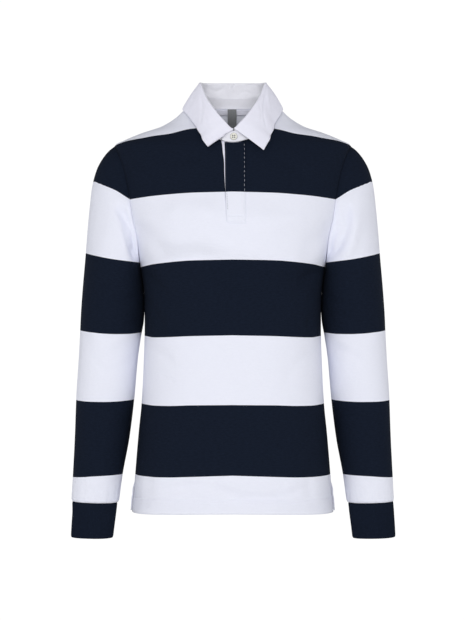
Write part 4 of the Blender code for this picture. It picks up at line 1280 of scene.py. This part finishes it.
def collar_grid(strength):
    """The fall: up from the stand, over the fold and down to its free edge."""
    angles = np.linspace(LEAF_START, LEAF_END, COLLAR_SECTIONS)
    out = outward(angles)
    up = np.array([0.0, 0.0, 1.0])
    seam = stand_point(angles, np.ones_like(angles)) - up * SEAM_TUCK - out * (STAND - 0.5)
    fold = ring_point(angles, "fold_half_width", "fold_y", "fold_z") + out * lap(angles)[:, None]
    edge = leaf_edge(angles)
    inner = fold - out * FOLD_RADIUS - up * FOLD_RADIUS
    outer = fold + out * FOLD_RADIUS - up * FOLD_RADIUS
    line = edge - outer
    side_on = unit(np.cross(line, outward(angles + 90.0)))
    side_on = np.where(np.sum(side_on * out, axis=-1, keepdims=True) < 0, -side_on, side_on)
    rows = [seam + (inner - seam) * share for share in np.linspace(0.0, 1.0, INNER_ROWS)]
    for turn in np.radians(np.linspace(165.0, 15.0, FOLD_ROWS)):
        rows.append(fold + out * FOLD_RADIUS * math.cos(turn)
                    + up * FOLD_RADIUS * (math.sin(turn) - 1.0))
    shares = np.linspace(0.0, 1.0, LEAF_ROWS)
    for share in shares:
        bow = LEAF_BOW * math.sin(math.pi * share) * (1.0 - LEAF_BOW_SKEW * share)
        rows.append(outer + line * share + side_on * bow)
    points = np.array(rows)[::-1]
    normals = grid_normals(points)
    down = np.concatenate([np.zeros(len(rows) - len(shares)), shares])[::-1][:, None]
    around = np.broadcast_to(angles[None, :], points.shape[:2])
    table = [(a0, LEAF_DROP * s0, a1, LEAF_DROP * s1, width, depth)
             for a0, s0, a1, s1, width, depth in COLLAR_CREASES]
    rise = np.arange(len(rows))[::-1][:, None] + 0.0 * angles
    tucks = crease_height(COLLAR_TUCKS, around, rise) * (rise < INNER_ROWS)
    creases = crease_height(table, around, np.broadcast_to(down * LEAF_DROP, points.shape[:2]))
    soft = 0.35 * np.sin(around / 6.5 + 1.0) * np.sin(math.pi * down)
    from_end = np.minimum(angles - LEAF_START, LEAF_END - angles)
    end_roll = 0.4 * np.exp(-(from_end / 1.2) ** 2)[None, :] * (down > 0)
    edge_roll = -0.5 * smooth((down - 0.93) / 0.07) - end_roll
    ease = 1.0 - 0.6 * smooth((down - 0.8) / 0.2)
    lift = (creases + soft) * strength * smooth(down / 0.12) * ease + edge_roll
    lift = lift + tucks * strength
    return points + normals * lift[..., None]


def make_collar_fall():
    points = collar_grid(bpy.context.scene.shirt_sizes.crease_strength)
    rows = np.arange(len(points))[:, None]
    # the inner rows of the fall take the lighter inside colour: painted light in place of the shade
    # inside the collar
    inside = smooth((rows - LEAF_ROWS - 2.0) / 6.0)
    piece = cloth_piece("collar_fall_twill", points, TWILL, "white_twill", inside=inside)
    worn(piece, "collar_fall")


# ---------------------------------------------------------------- placket
def on_front(x, z, lift, strength):
    """A place over the front, with the front's own creases and a lift off it."""
    angle = angle_at(x, z)
    height = (crease_height(FRONT_CREASES, x, z) + undulation(x, z, 0.4)) * strength
    height = height * smooth((-66.0 - z) / 30.0)
    return off_body(angle, z, lift + height), body_normal(angle, z)


def flap_grid(strength):
    """The flap: pressed at its edges and hollow along its seam and round its sewn box."""
    share = np.linspace(0.0, 1.0, FLAP_COLUMNS)[None, :]
    down = np.linspace(0.0, 1.0, FLAP_ROWS)[:, None]
    x_top = flap_left(NECK_FRONT_Z) + (FLAP_RIGHT - flap_left(NECK_FRONT_Z)) * share
    top = neck_z(np.degrees(np.arcsin(x_top / NECK_HALF_WIDTH))) - FLAP_LIFT
    z = FLAP_END_Z + (top - FLAP_END_Z) * down
    left = flap_left(z)
    cut = np.maximum(0.0, FLAP_CORNER - (z - FLAP_END_Z))
    x = left + cut * (1.0 - share) + (FLAP_RIGHT - left) * share
    edge = np.minimum(x - left, FLAP_RIGHT - x)
    edge = np.minimum(edge, z - FLAP_END_Z)
    roll = -1.4 * np.exp(-(edge / 2.2) ** 2)
    hollow = -0.35 * np.exp(-((x - SLIT_RIGHT) / 1.8) ** 2)
    box = sum(np.exp(-((z - line) / BOX_LINE_WIDTH) ** 2) for line in (BOX_TOP_Z, BOX_LOW_Z))
    hollow = hollow - BOX_LINE_DEPTH * box * smooth((SLIT_RIGHT + 0.5 - x) / 0.8)
    return on_front(x, z, FLAP_LIFT + roll + hollow, strength)


def under_grid(strength):
    """The under layer, which lies in the slit and shows along the flap's left edge."""
    share = np.linspace(0.0, 1.0, UNDER_COLUMNS)[None, :]
    down = np.linspace(0.0, 1.0, UNDER_ROWS)[:, None]
    x_top = slit_left(NECK_FRONT_Z) + (UNDER_RIGHT - slit_left(NECK_FRONT_Z)) * share
    top = neck_z(np.degrees(np.arcsin(x_top / NECK_HALF_WIDTH))) - LAP_GAP
    bottom = SLIT_END_Z + 1.0
    z = bottom + (top - bottom) * down
    left = slit_left(z) + 0.3
    x = left + (UNDER_RIGHT - left) * share
    return on_front(x, z, np.zeros_like(x), strength)[0]


def make_placket():
    strength = bpy.context.scene.shirt_sizes.crease_strength
    points = flap_grid(strength)[0]
    flap = cloth_piece("placket_flap_cloth", points, JERSEY, "striped_jersey",
                       stripe=stripe_level(FRONT_STRIPES, points))
    worn(flap, "placket_flap")
    under = cloth_piece("placket_under_twill", under_grid(strength), JERSEY, "white_twill")
    worn(under, "placket_under")


# ---------------------------------------------------------------- neck trim
def make_neck_trim():
    lift = -(JERSEY + 4 * LAP_GAP + TAPE)
    angles = -(TAPE_START + TAPE_TURN * np.linspace(0.0, 1.0, TAPE_COLUMNS))[None, :]
    z = TAPE_TOP_Z - TAPE_WIDTH * (1.0 - np.linspace(0.0, 1.0, TAPE_ROWS))[:, None]
    waver = 0.25 * np.sin(angles / 4.0) * np.linspace(1.0, 0.0, TAPE_ROWS)[:, None]
    points = off_body(angles + 0.0 * z, z + 0.0 * angles, lift + waver)
    tape = cloth_piece("neck_tape_herringbone", points, TAPE, "neck_tape")
    worn(tape, "neck_tape")
    lift = -(JERSEY + 5 * LAP_GAP + 2 * TAPE)
    share = np.linspace(0.0, 1.0, LABEL_COLUMNS)[None, :]
    down = (1.0 - np.linspace(0.0, 1.0, LABEL_ROWS))[:, None]
    x = LABEL_LEFT + (LABEL_RIGHT - LABEL_LEFT) * share + 0.0 * down
    z = LABEL_TOP_Z - LABEL_LENGTH * down + 0.0 * share
    bow = -1.2 * np.sin(math.pi * down) - 0.5 * np.sin(math.pi * share) * down
    points = stack(x, depth_at(x, z, "back") + lift - LABEL_HANG + bow, z)
    label = cloth_piece("blank_label", points, TAPE, "grey_label")
    worn(label, "label")


# ---------------------------------------------------------------- button
BUTTON_PROFILE = [      # radius and height over the back face, from the middle out
    (0.0, 1.75), (2.2, 1.72), (3.6, 1.80), (4.3, 2.10), (4.75, 2.55), (5.2, 2.78),
    (5.7, 2.72), (6.1, 2.35), (6.3, 1.75), (6.25, 1.10), (5.9, 0.55), (5.2, 0.20),
    (3.5, 0.05), (0.0, 0.0),
]
BUTTON_TURNS = 72
HOLE_RADIUS = 0.95
HOLE_OFFSET = 1.6
HOLE_FLOOR = 0.6        # the thread fills the holes below this height
BUTTON_FACE = 1.72      # height of its hollow face, which the thread lies on
STRAND_RADIUS = 0.08
STRAND_OFFSET = 0.1     # the two strands lie this far to either side of the holes' middles
STRAND_STEPS = 12
STRAND_DEPTH = 1.4      # how far a strand goes down into its hole


def button_seat():
    """Place and facing of the button on the upper end of the stand."""
    low, high = stand_point(np.array([0.0]), [0.0])[0], stand_point(np.array([0.0]), [1.0])[0]
    share = (BUTTON_Z - neckline(0.0)[2]) / (high[2] - neckline(0.0)[2])
    angle = math.degrees(math.asin(BUTTON_X / NECK_HALF_WIDTH))
    seat = stand_point(np.array([angle]), [share])[0]
    lean = high - low
    facing = unit(np.array([0.0, -lean[2], lean[1]]))
    return Vector(seat), Vector(facing)


def turned_ring(mesh, radius, height):
    """A ring of the turned button, or its middle where the radius is 0."""
    if radius == 0.0:
        return [mesh.verts.new((0.0, 0.0, height * MM))]
    turns = [math.tau * k / BUTTON_TURNS for k in range(BUTTON_TURNS)]
    return [mesh.verts.new((radius * MM * math.cos(turn), radius * MM * math.sin(turn),
                            height * MM)) for turn in turns]


def make_button():
    mesh = bmesh.new()
    ring_before = None
    for radius, height in BUTTON_PROFILE:
        ring = turned_ring(mesh, radius, height)
        if ring_before:
            for k in range(BUTTON_TURNS):
                a = ring_before[k % len(ring_before)]
                b = ring_before[(k + 1) % len(ring_before)]
                c, d = ring[(k + 1) % len(ring)], ring[k % len(ring)]
                corners = []
                for corner in (a, d, c, b):
                    if corner not in corners:
                        corners.append(corner)
                mesh.faces.new(corners)
        ring_before = ring
    bmesh.ops.recalc_face_normals(mesh, faces=mesh.faces)
    data = bpy.data.meshes.new("collar_button")
    mesh.to_mesh(data)
    mesh.free()
    data.materials.append(finish("button"))
    piece = link(bpy.data.objects.new("collar_button", data))
    for x in (-1, 1):
        for y in (-1, 1):
            bpy.ops.mesh.primitive_cylinder_add(
                vertices=20, radius=HOLE_RADIUS * MM, depth=2 * BUTTON_THICKNESS * MM,
                location=(x * HOLE_OFFSET * MM, y * HOLE_OFFSET * MM,
                          (HOLE_FLOOR + BUTTON_THICKNESS) * MM))
            hole = bpy.context.object
            cut = piece.modifiers.new("hole", "BOOLEAN")
            cut.operation = "DIFFERENCE"
            cut.object = hole
            bpy.context.view_layer.objects.active = piece
            with bpy.context.temp_override(object=piece, active_object=piece):
                bpy.ops.object.modifier_apply(modifier="hole")
            bpy.data.objects.remove(hole, do_unlink=True)
    piece.data.shade_smooth()
    piece.data.set_sharp_from_angle(angle=math.radians(40.0))
    seat, facing = button_seat()
    turn = facing.to_track_quat("Z", "Y")
    piece.rotation_euler = turn.to_euler()
    piece.location = (seat + facing * LAP_GAP) * MM
    worn(piece, "button_collar")
    make_button_thread(seat, facing, turn)


def make_button_thread(seat, facing, turn):
    """Thread from hole to hole across the button's face, two strands to a side."""
    curve = bpy.data.curves.new("button_thread", "CURVE")
    curve.dimensions = "3D"
    curve.bevel_depth = STRAND_RADIUS * MM
    curve.bevel_resolution = 2
    for y in (-HOLE_OFFSET, HOLE_OFFSET):
        for strand in (-STRAND_OFFSET, STRAND_OFFSET):
            spline = curve.splines.new("POLY")
            spline.points.add(STRAND_STEPS)
            for k, point in enumerate(spline.points):
                share = k / STRAND_STEPS
                x = (2 * share - 1) * (HOLE_OFFSET - 0.2)
                down = STRAND_DEPTH if k in (0, STRAND_STEPS) else 0.0
                height = LAP_GAP + BUTTON_FACE + 0.28 * math.sin(math.pi * share) - down
                place = turn @ Vector((x, y + strand, 0.0)) + facing * height + seat
                point.co = tuple(c * MM for c in place) + (1.0,)
    curve.materials.append(finish("white_thread"))
    piece = link(bpy.data.objects.new("button_thread", curve))
    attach(piece, "root")


# ---------------------------------------------------------------- topstitching
HEM_SEAMS = (1.5, 6.5)          # distances below the hem line
DASHES_FROM_Z = -159.5          # above this height the placket's seam is sewn in long stitches
DASH_PITCH = 7.6
DASH_LENGTH = 4.2
FLAP_EDGE_COLUMN = 2.2          # places of seams in rows and columns of the grids
LEAF_EDGE_ROW = 4.2
LEAF_EDGE_COLUMN = 5.0
STAND_SEAM_ROWS = (17.6, 1.8)
CUFF_SEAM_ROW = 0.9


def row_line(points, normals, at, first=0, last=None):
    """A line on a grid at a row, which may lie between two rows."""
    low = int(math.floor(at))
    share = at - low
    high = min(low + 1, len(points) - 1)
    line = points[low] * (1 - share) + points[high] * share
    facing = normals[low] * (1 - share) + normals[high] * share
    return line[first:last], facing[first:last]


def column_line(points, normals, at, first=0, last=None):
    return row_line(np.swapaxes(points, 0, 1), np.swapaxes(normals, 0, 1), at, first, last)


def make_topstitching():
    strength = bpy.context.scene.shirt_sizes.crease_strength
    sew_hem(strength)
    sew_placket(strength)
    sew_collar(strength)
    sew_cuffs(strength)


def sew_hem(strength):
    hem = []
    for side in ("front", "back"):
        points, normals, heights = panel_grid(side, strength)
        for below in HEM_SEAMS:
            at = float(np.interp(HEM_LINE_Z - below, heights[:60], np.arange(60)))
            hem.append(row_line(points, normals, at, 2, -2))
    stitches("hem_stitches", hem, 0.28)


def sew_placket(strength):
    points, normals = flap_grid(strength)
    seam = float(np.argmin(np.abs(points[FLAP_ROWS // 2, :, 0] - FLAP_SEAM_X)))
    box_top = nearest_row(points, 10, BOX_TOP_Z)
    box_low = nearest_row(points, 10, BOX_LOW_Z)
    chest = nearest_row(points, 25, DASHES_FROM_Z)
    dashes = [column_line(points, normals, seam, chest, FLAP_ROWS - 4)]
    stitches("placket_dashes", dashes, 0.20, pitch=DASH_PITCH, length=DASH_LENGTH)
    edge = [column_line(points, normals, FLAP_EDGE_COLUMN, FLAP_ROWS // 6, FLAP_ROWS - 3)]
    stitches("placket_edge_stitches", edge, 0.22, "navy_thread")
    box = [column_line(points, normals, seam, box_low, chest),
           column_line(points, normals, FLAP_EDGE_COLUMN, box_low, box_top),
           row_line(points, normals, box_top, 2, int(seam)),
           row_line(points, normals, box_low, 3, int(seam))]
    stitches("placket_box_stitches", box, 0.24)


def nearest_row(points, column, z):
    """The row of a grid whose point in a column lies nearest to a height."""
    return int(np.argmin(np.abs(points[:, column, 2] - z)))


def sew_collar(strength):
    points = collar_grid(strength)
    normals = grid_normals(points)
    leaf = [row_line(points, normals, LEAF_EDGE_ROW, 5, -5),
            column_line(points, normals, LEAF_EDGE_COLUMN, 4, LEAF_ROWS - 2),
            column_line(points, normals, points.shape[1] - 1.0 - LEAF_EDGE_COLUMN, 4, LEAF_ROWS - 2)]
    stitches("collar_edge_stitches", leaf, 0.22)
    inside = points - normals * TWILL
    stand = stand_grid()
    stand_normals = grid_normals(stand)
    outer = [row_line(stand, stand_normals, at, 4, -4) for at in STAND_SEAM_ROWS]
    inner = [(line - facing * STAND, -facing) for line, facing in outer]
    stitches("stand_stitches", outer + inner + [(inside[-4], -normals[-4])], 0.20)


def sew_cuffs(strength):
    cuffs = []
    for side in (1, -1):
        points = sleeve_grid(side, strength)
        line, facing = row_line(points, grid_normals(points, closed=True), CUFF_SEAM_ROW)
        cuffs.append((np.vstack([line, line[:1]]), np.vstack([facing, facing[:1]])))
    stitches("cuff_seam_stitches", cuffs, 0.26)


# ================================================================ stage
CAMERA_PLACE = (-0.0005, -3.4, -0.358)
CAMERA_LENS = 113.5
CAMERA_SENSOR = 36.0
FLOOR_Z = -1.45
SNOOT_SIDE = 0.027           # two narrow spots light the collar's lining through its opening
SNOOT_PLACE = (-1.6, 0.45)   # y and z
SNOOT_TARGET = (0.045, 0.008)
SNOOT_ANGLE = 0.043
FLOOR_RADIUS = 2.4
SOFTBOX_SIZE = 1.6
SOFTBOX_AIM = (0.0, 0.0, -0.36)
KEY_PLACE = (-0.5, -3.2, 0.35)
FILL_PLACE = (0.4, -3.2, 0.05)
SKY_FADE = (0.18, 0.45)      # height of a direction over which the sky fades to either pole


def shine(name, kind, place, aim, **settings):
    """Set up a light at a place, looking along its aim."""
    lamp = bpy.data.lights.new(name, kind)
    for setting, value in settings.items():
        setattr(lamp, setting, value)
    light = link(bpy.data.objects.new(name, lamp))
    light.location = place
    light.rotation_euler = aim.to_track_quat("-Z", "Y").to_euler()


def make_stage():
    look = bpy.context.scene.shirt_look
    scene = bpy.context.scene
    bpy.ops.mesh.primitive_circle_add(vertices=128, radius=FLOOR_RADIUS, fill_type="NGON",
                                      location=(0.0, 0.0, FLOOR_Z))
    floor = bpy.context.object
    floor.name = "studio_floor"
    floor.data.materials.append(plain_paper())
    world = bpy.data.worlds.new("white studio")
    world.use_nodes = True
    background = world.node_tree.nodes["Background"]
    background.inputs["Color"].default_value = (1.0, 1.0, 1.0, 1.0)
    height = add(world, "SeparateXYZ", add(world, "TexCoord", out="Generated"), out="Z")
    start, end = SKY_FADE
    fades = [add(world, "MapRange", Value=height, From_Min=first, From_Max=last, To_Min=low,
                 To_Max=high, interpolation_type="SMOOTHSTEP")
             for first, last, low, high in ((start, end, look.sky, look.zenith),
                                            (-end, -start, look.nadir, look.sky))]
    feed(world, background.inputs["Strength"], add(world, "Math", *fades, operation="MINIMUM"))
    scene.world = world
    for name, place, power in (("key softbox", KEY_PLACE, look.key),
                               ("fill softbox", FILL_PLACE, look.fill)):
        shine(name, "AREA", place, Vector(SOFTBOX_AIM) - Vector(place), shape="DISK",
              size=SOFTBOX_SIZE, energy=power)
    aim = Vector((0.0, SNOOT_TARGET[0] - SNOOT_PLACE[0], SNOOT_TARGET[1] - SNOOT_PLACE[1]))
    for side in (-1, 1):
        shine("collar snoot", "SPOT", (side * SNOOT_SIDE, *SNOOT_PLACE), aim, energy=look.snoot,
              spot_size=SNOOT_ANGLE, spot_blend=1.0, shadow_soft_size=0.01)
    lens = bpy.data.cameras.new("studio camera")
    lens.lens = CAMERA_LENS
    lens.sensor_fit = "VERTICAL"
    lens.sensor_height = CAMERA_SENSOR
    camera = link(bpy.data.objects.new("studio camera", lens))
    camera.location = CAMERA_PLACE
    camera.rotation_euler = (math.pi / 2, 0.0, 0.0)
    scene.camera = camera
    scene.view_settings.view_transform = "Standard"


# ================================================================ add-on
def colour_value(name, description, hex_colour):
    return bpy.props.FloatVectorProperty(name=name, description=description, subtype="COLOR",
                                         size=4, min=0.0, max=1.0, default=srgb(hex_colour))


def number_value(name, description, default, least=0.0, **settings):
    return bpy.props.FloatProperty(name=name, description=description, default=default,
                                   min=least, **settings)


def power_value(name, description, default):
    return number_value(name, description, default, subtype="POWER", unit="POWER")


def length_value(name, description, default, least):
    return number_value(name, description, default, least, subtype="DISTANCE", unit="LENGTH")


class ShirtLook(bpy.types.PropertyGroup):
    """Colours of the shirt and strengths of the studio's lights."""
    navy: colour_value("Navy", "Dark stripes and cuffs", "#151C2A")
    white: colour_value("White", "Pale stripes", "#EEF0FC")
    collar: colour_value("Collar", "Twill of the collar and the placket's under layer", "#EEEEFB")
    # Painted light: the collar's inside is coloured lighter than its outside, to stand in for light that
    # the inside does not get.
    inside_painted_lighter: colour_value("Collar inside", "Fresh twill of the collar's stand and inner layer", "#F7F7FF")
    label: colour_value("Label", "Blank woven label", "#86888B")
    button: colour_value("Button", "Resin of the collar button", "#EAE9E0")
    navy_thread: colour_value("Navy thread", "Thread on the dark stripes", "#2A3346")
    sky: number_value("Sky", "Strength of the white surroundings", 1.04)
    zenith: number_value("Zenith", "Strength straight above", 0.35)
    nadir: number_value("Nadir", "Strength straight below", 0.3)
    key: power_value("Key light", "Power of the upper left softbox", 22.5)
    fill: power_value("Fill light", "Power of the right softbox", 13.5)
    snoot: power_value("Snoot", "Power of each spot on the lining", 22.0)


class ShirtSizes(bpy.types.PropertyGroup):
    """Sizes of the knit, the ribs, the stitches and the creases."""
    wale: length_value("Wale", "Width of one column of loops in the jersey", 0.0014, 0.0003)
    course: length_value("Course", "Height of one row of loops in the jersey", 0.0012, 0.0003)
    twill_line: length_value("Twill line", "Distance between the diagonal lines of the twill",
                             0.0010, 0.0002)
    rib_height: length_value("Rib height", "How far the cuff's ribs stand out and fall back",
                             0.00035, 0.0)
    stitch_pitch: length_value("Stitch pitch", "Distance from one stitch to the next",
                               0.0030, 0.001)
    stitch_length: length_value("Stitch length", "Length of one stitch", 0.0023, 0.0005)
    crease_strength: number_value("Crease strength", "Share of the creases' depth that is used",
                                  1.0, max=2.0, subtype="FACTOR")


class SHIRT_OT_front(bpy.types.Operator):
    """Make the front panel, slit down its middle for the placket"""
    bl_idname = "shirt.front"
    bl_label = "Front"

    def execute(self, context):
        make_front()
        return {"FINISHED"}


class SHIRT_OT_back(bpy.types.Operator):
    """Make the back panel"""
    bl_idname = "shirt.back"
    bl_label = "Back"

    def execute(self, context):
        make_back()
        return {"FINISHED"}


class SHIRT_OT_sleeves(bpy.types.Operator):
    """Make both sleeves"""
    bl_idname = "shirt.sleeves"
    bl_label = "Sleeves"

    def execute(self, context):
        make_sleeves()
        return {"FINISHED"}


class SHIRT_OT_cuffs(bpy.types.Operator):
    """Make both rib cuffs"""
    bl_idname = "shirt.cuffs"
    bl_label = "Cuffs"

    def execute(self, context):
        make_cuffs()
        return {"FINISHED"}


class SHIRT_OT_collar_stand(bpy.types.Operator):
    """Make the collar's stand, which laps at the front"""
    bl_idname = "shirt.collar_stand"
    bl_label = "Collar stand"

    def execute(self, context):
        make_collar_stand()
        return {"FINISHED"}


class SHIRT_OT_collar_fall(bpy.types.Operator):
    """Make the collar's fall, folded over the stand"""
    bl_idname = "shirt.collar_fall"
    bl_label = "Collar fall"

    def execute(self, context):
        make_collar_fall()
        return {"FINISHED"}


class SHIRT_OT_placket(bpy.types.Operator):
    """Make both layers of the placket"""
    bl_idname = "shirt.placket"
    bl_label = "Placket"

    def execute(self, context):
        make_placket()
        return {"FINISHED"}


class SHIRT_OT_neck_trim(bpy.types.Operator):
    """Make the neck tape and the blank label"""
    bl_idname = "shirt.neck_trim"
    bl_label = "Neck trim"

    def execute(self, context):
        make_neck_trim()
        return {"FINISHED"}


class SHIRT_OT_button(bpy.types.Operator):
    """Make the collar button and its thread"""
    bl_idname = "shirt.button"
    bl_label = "Collar button"

    def execute(self, context):
        make_button()
        return {"FINISHED"}


class SHIRT_OT_topstitching(bpy.types.Operator):
    """Sew the visible rows of stitches"""
    bl_idname = "shirt.topstitching"
    bl_label = "Topstitching"

    def execute(self, context):
        make_topstitching()
        return {"FINISHED"}


class SHIRT_OT_stage(bpy.types.Operator):
    """Set up the floor, the lights and the camera"""
    bl_idname = "shirt.stage"
    bl_label = "Studio"

    def execute(self, context):
        make_stage()
        return {"FINISHED"}


OPERATORS = (SHIRT_OT_front, SHIRT_OT_back, SHIRT_OT_sleeves, SHIRT_OT_cuffs,
             SHIRT_OT_collar_stand, SHIRT_OT_collar_fall, SHIRT_OT_placket, SHIRT_OT_neck_trim,
             SHIRT_OT_button, SHIRT_OT_topstitching, SHIRT_OT_stage)


class SHIRT_PT_panel(bpy.types.Panel):
    """Sizes, colours and pieces of the shirt"""
    bl_idname = "SHIRT_PT_panel"
    bl_label = "Rugby shirt"
    bl_space_type = "VIEW_3D"
    bl_region_type = "UI"
    bl_category = "Rugby shirt"

    def draw(self, context):
        for group in (context.scene.shirt_sizes, context.scene.shirt_look):
            box = self.layout.box()
            for name in group.__annotations__:
                box.prop(group, name)
        for operator in OPERATORS:
            self.layout.operator(operator.bl_idname)


CLASSES = (ShirtLook, ShirtSizes) + OPERATORS + (SHIRT_PT_panel,)


def register():
    for made in CLASSES:
        bpy.utils.register_class(made)
    bpy.types.Scene.shirt_look = bpy.props.PointerProperty(type=ShirtLook)
    bpy.types.Scene.shirt_sizes = bpy.props.PointerProperty(type=ShirtSizes)


def unregister():
    del bpy.types.Scene.shirt_look
    del bpy.types.Scene.shirt_sizes
    for made in reversed(CLASSES):
        bpy.utils.unregister_class(made)


def main():
    register()
    for operator in OPERATORS:
        name = operator.bl_idname.split(".")[1]
        getattr(bpy.ops.shirt, name)()


if __name__ == "__main__":
    main()
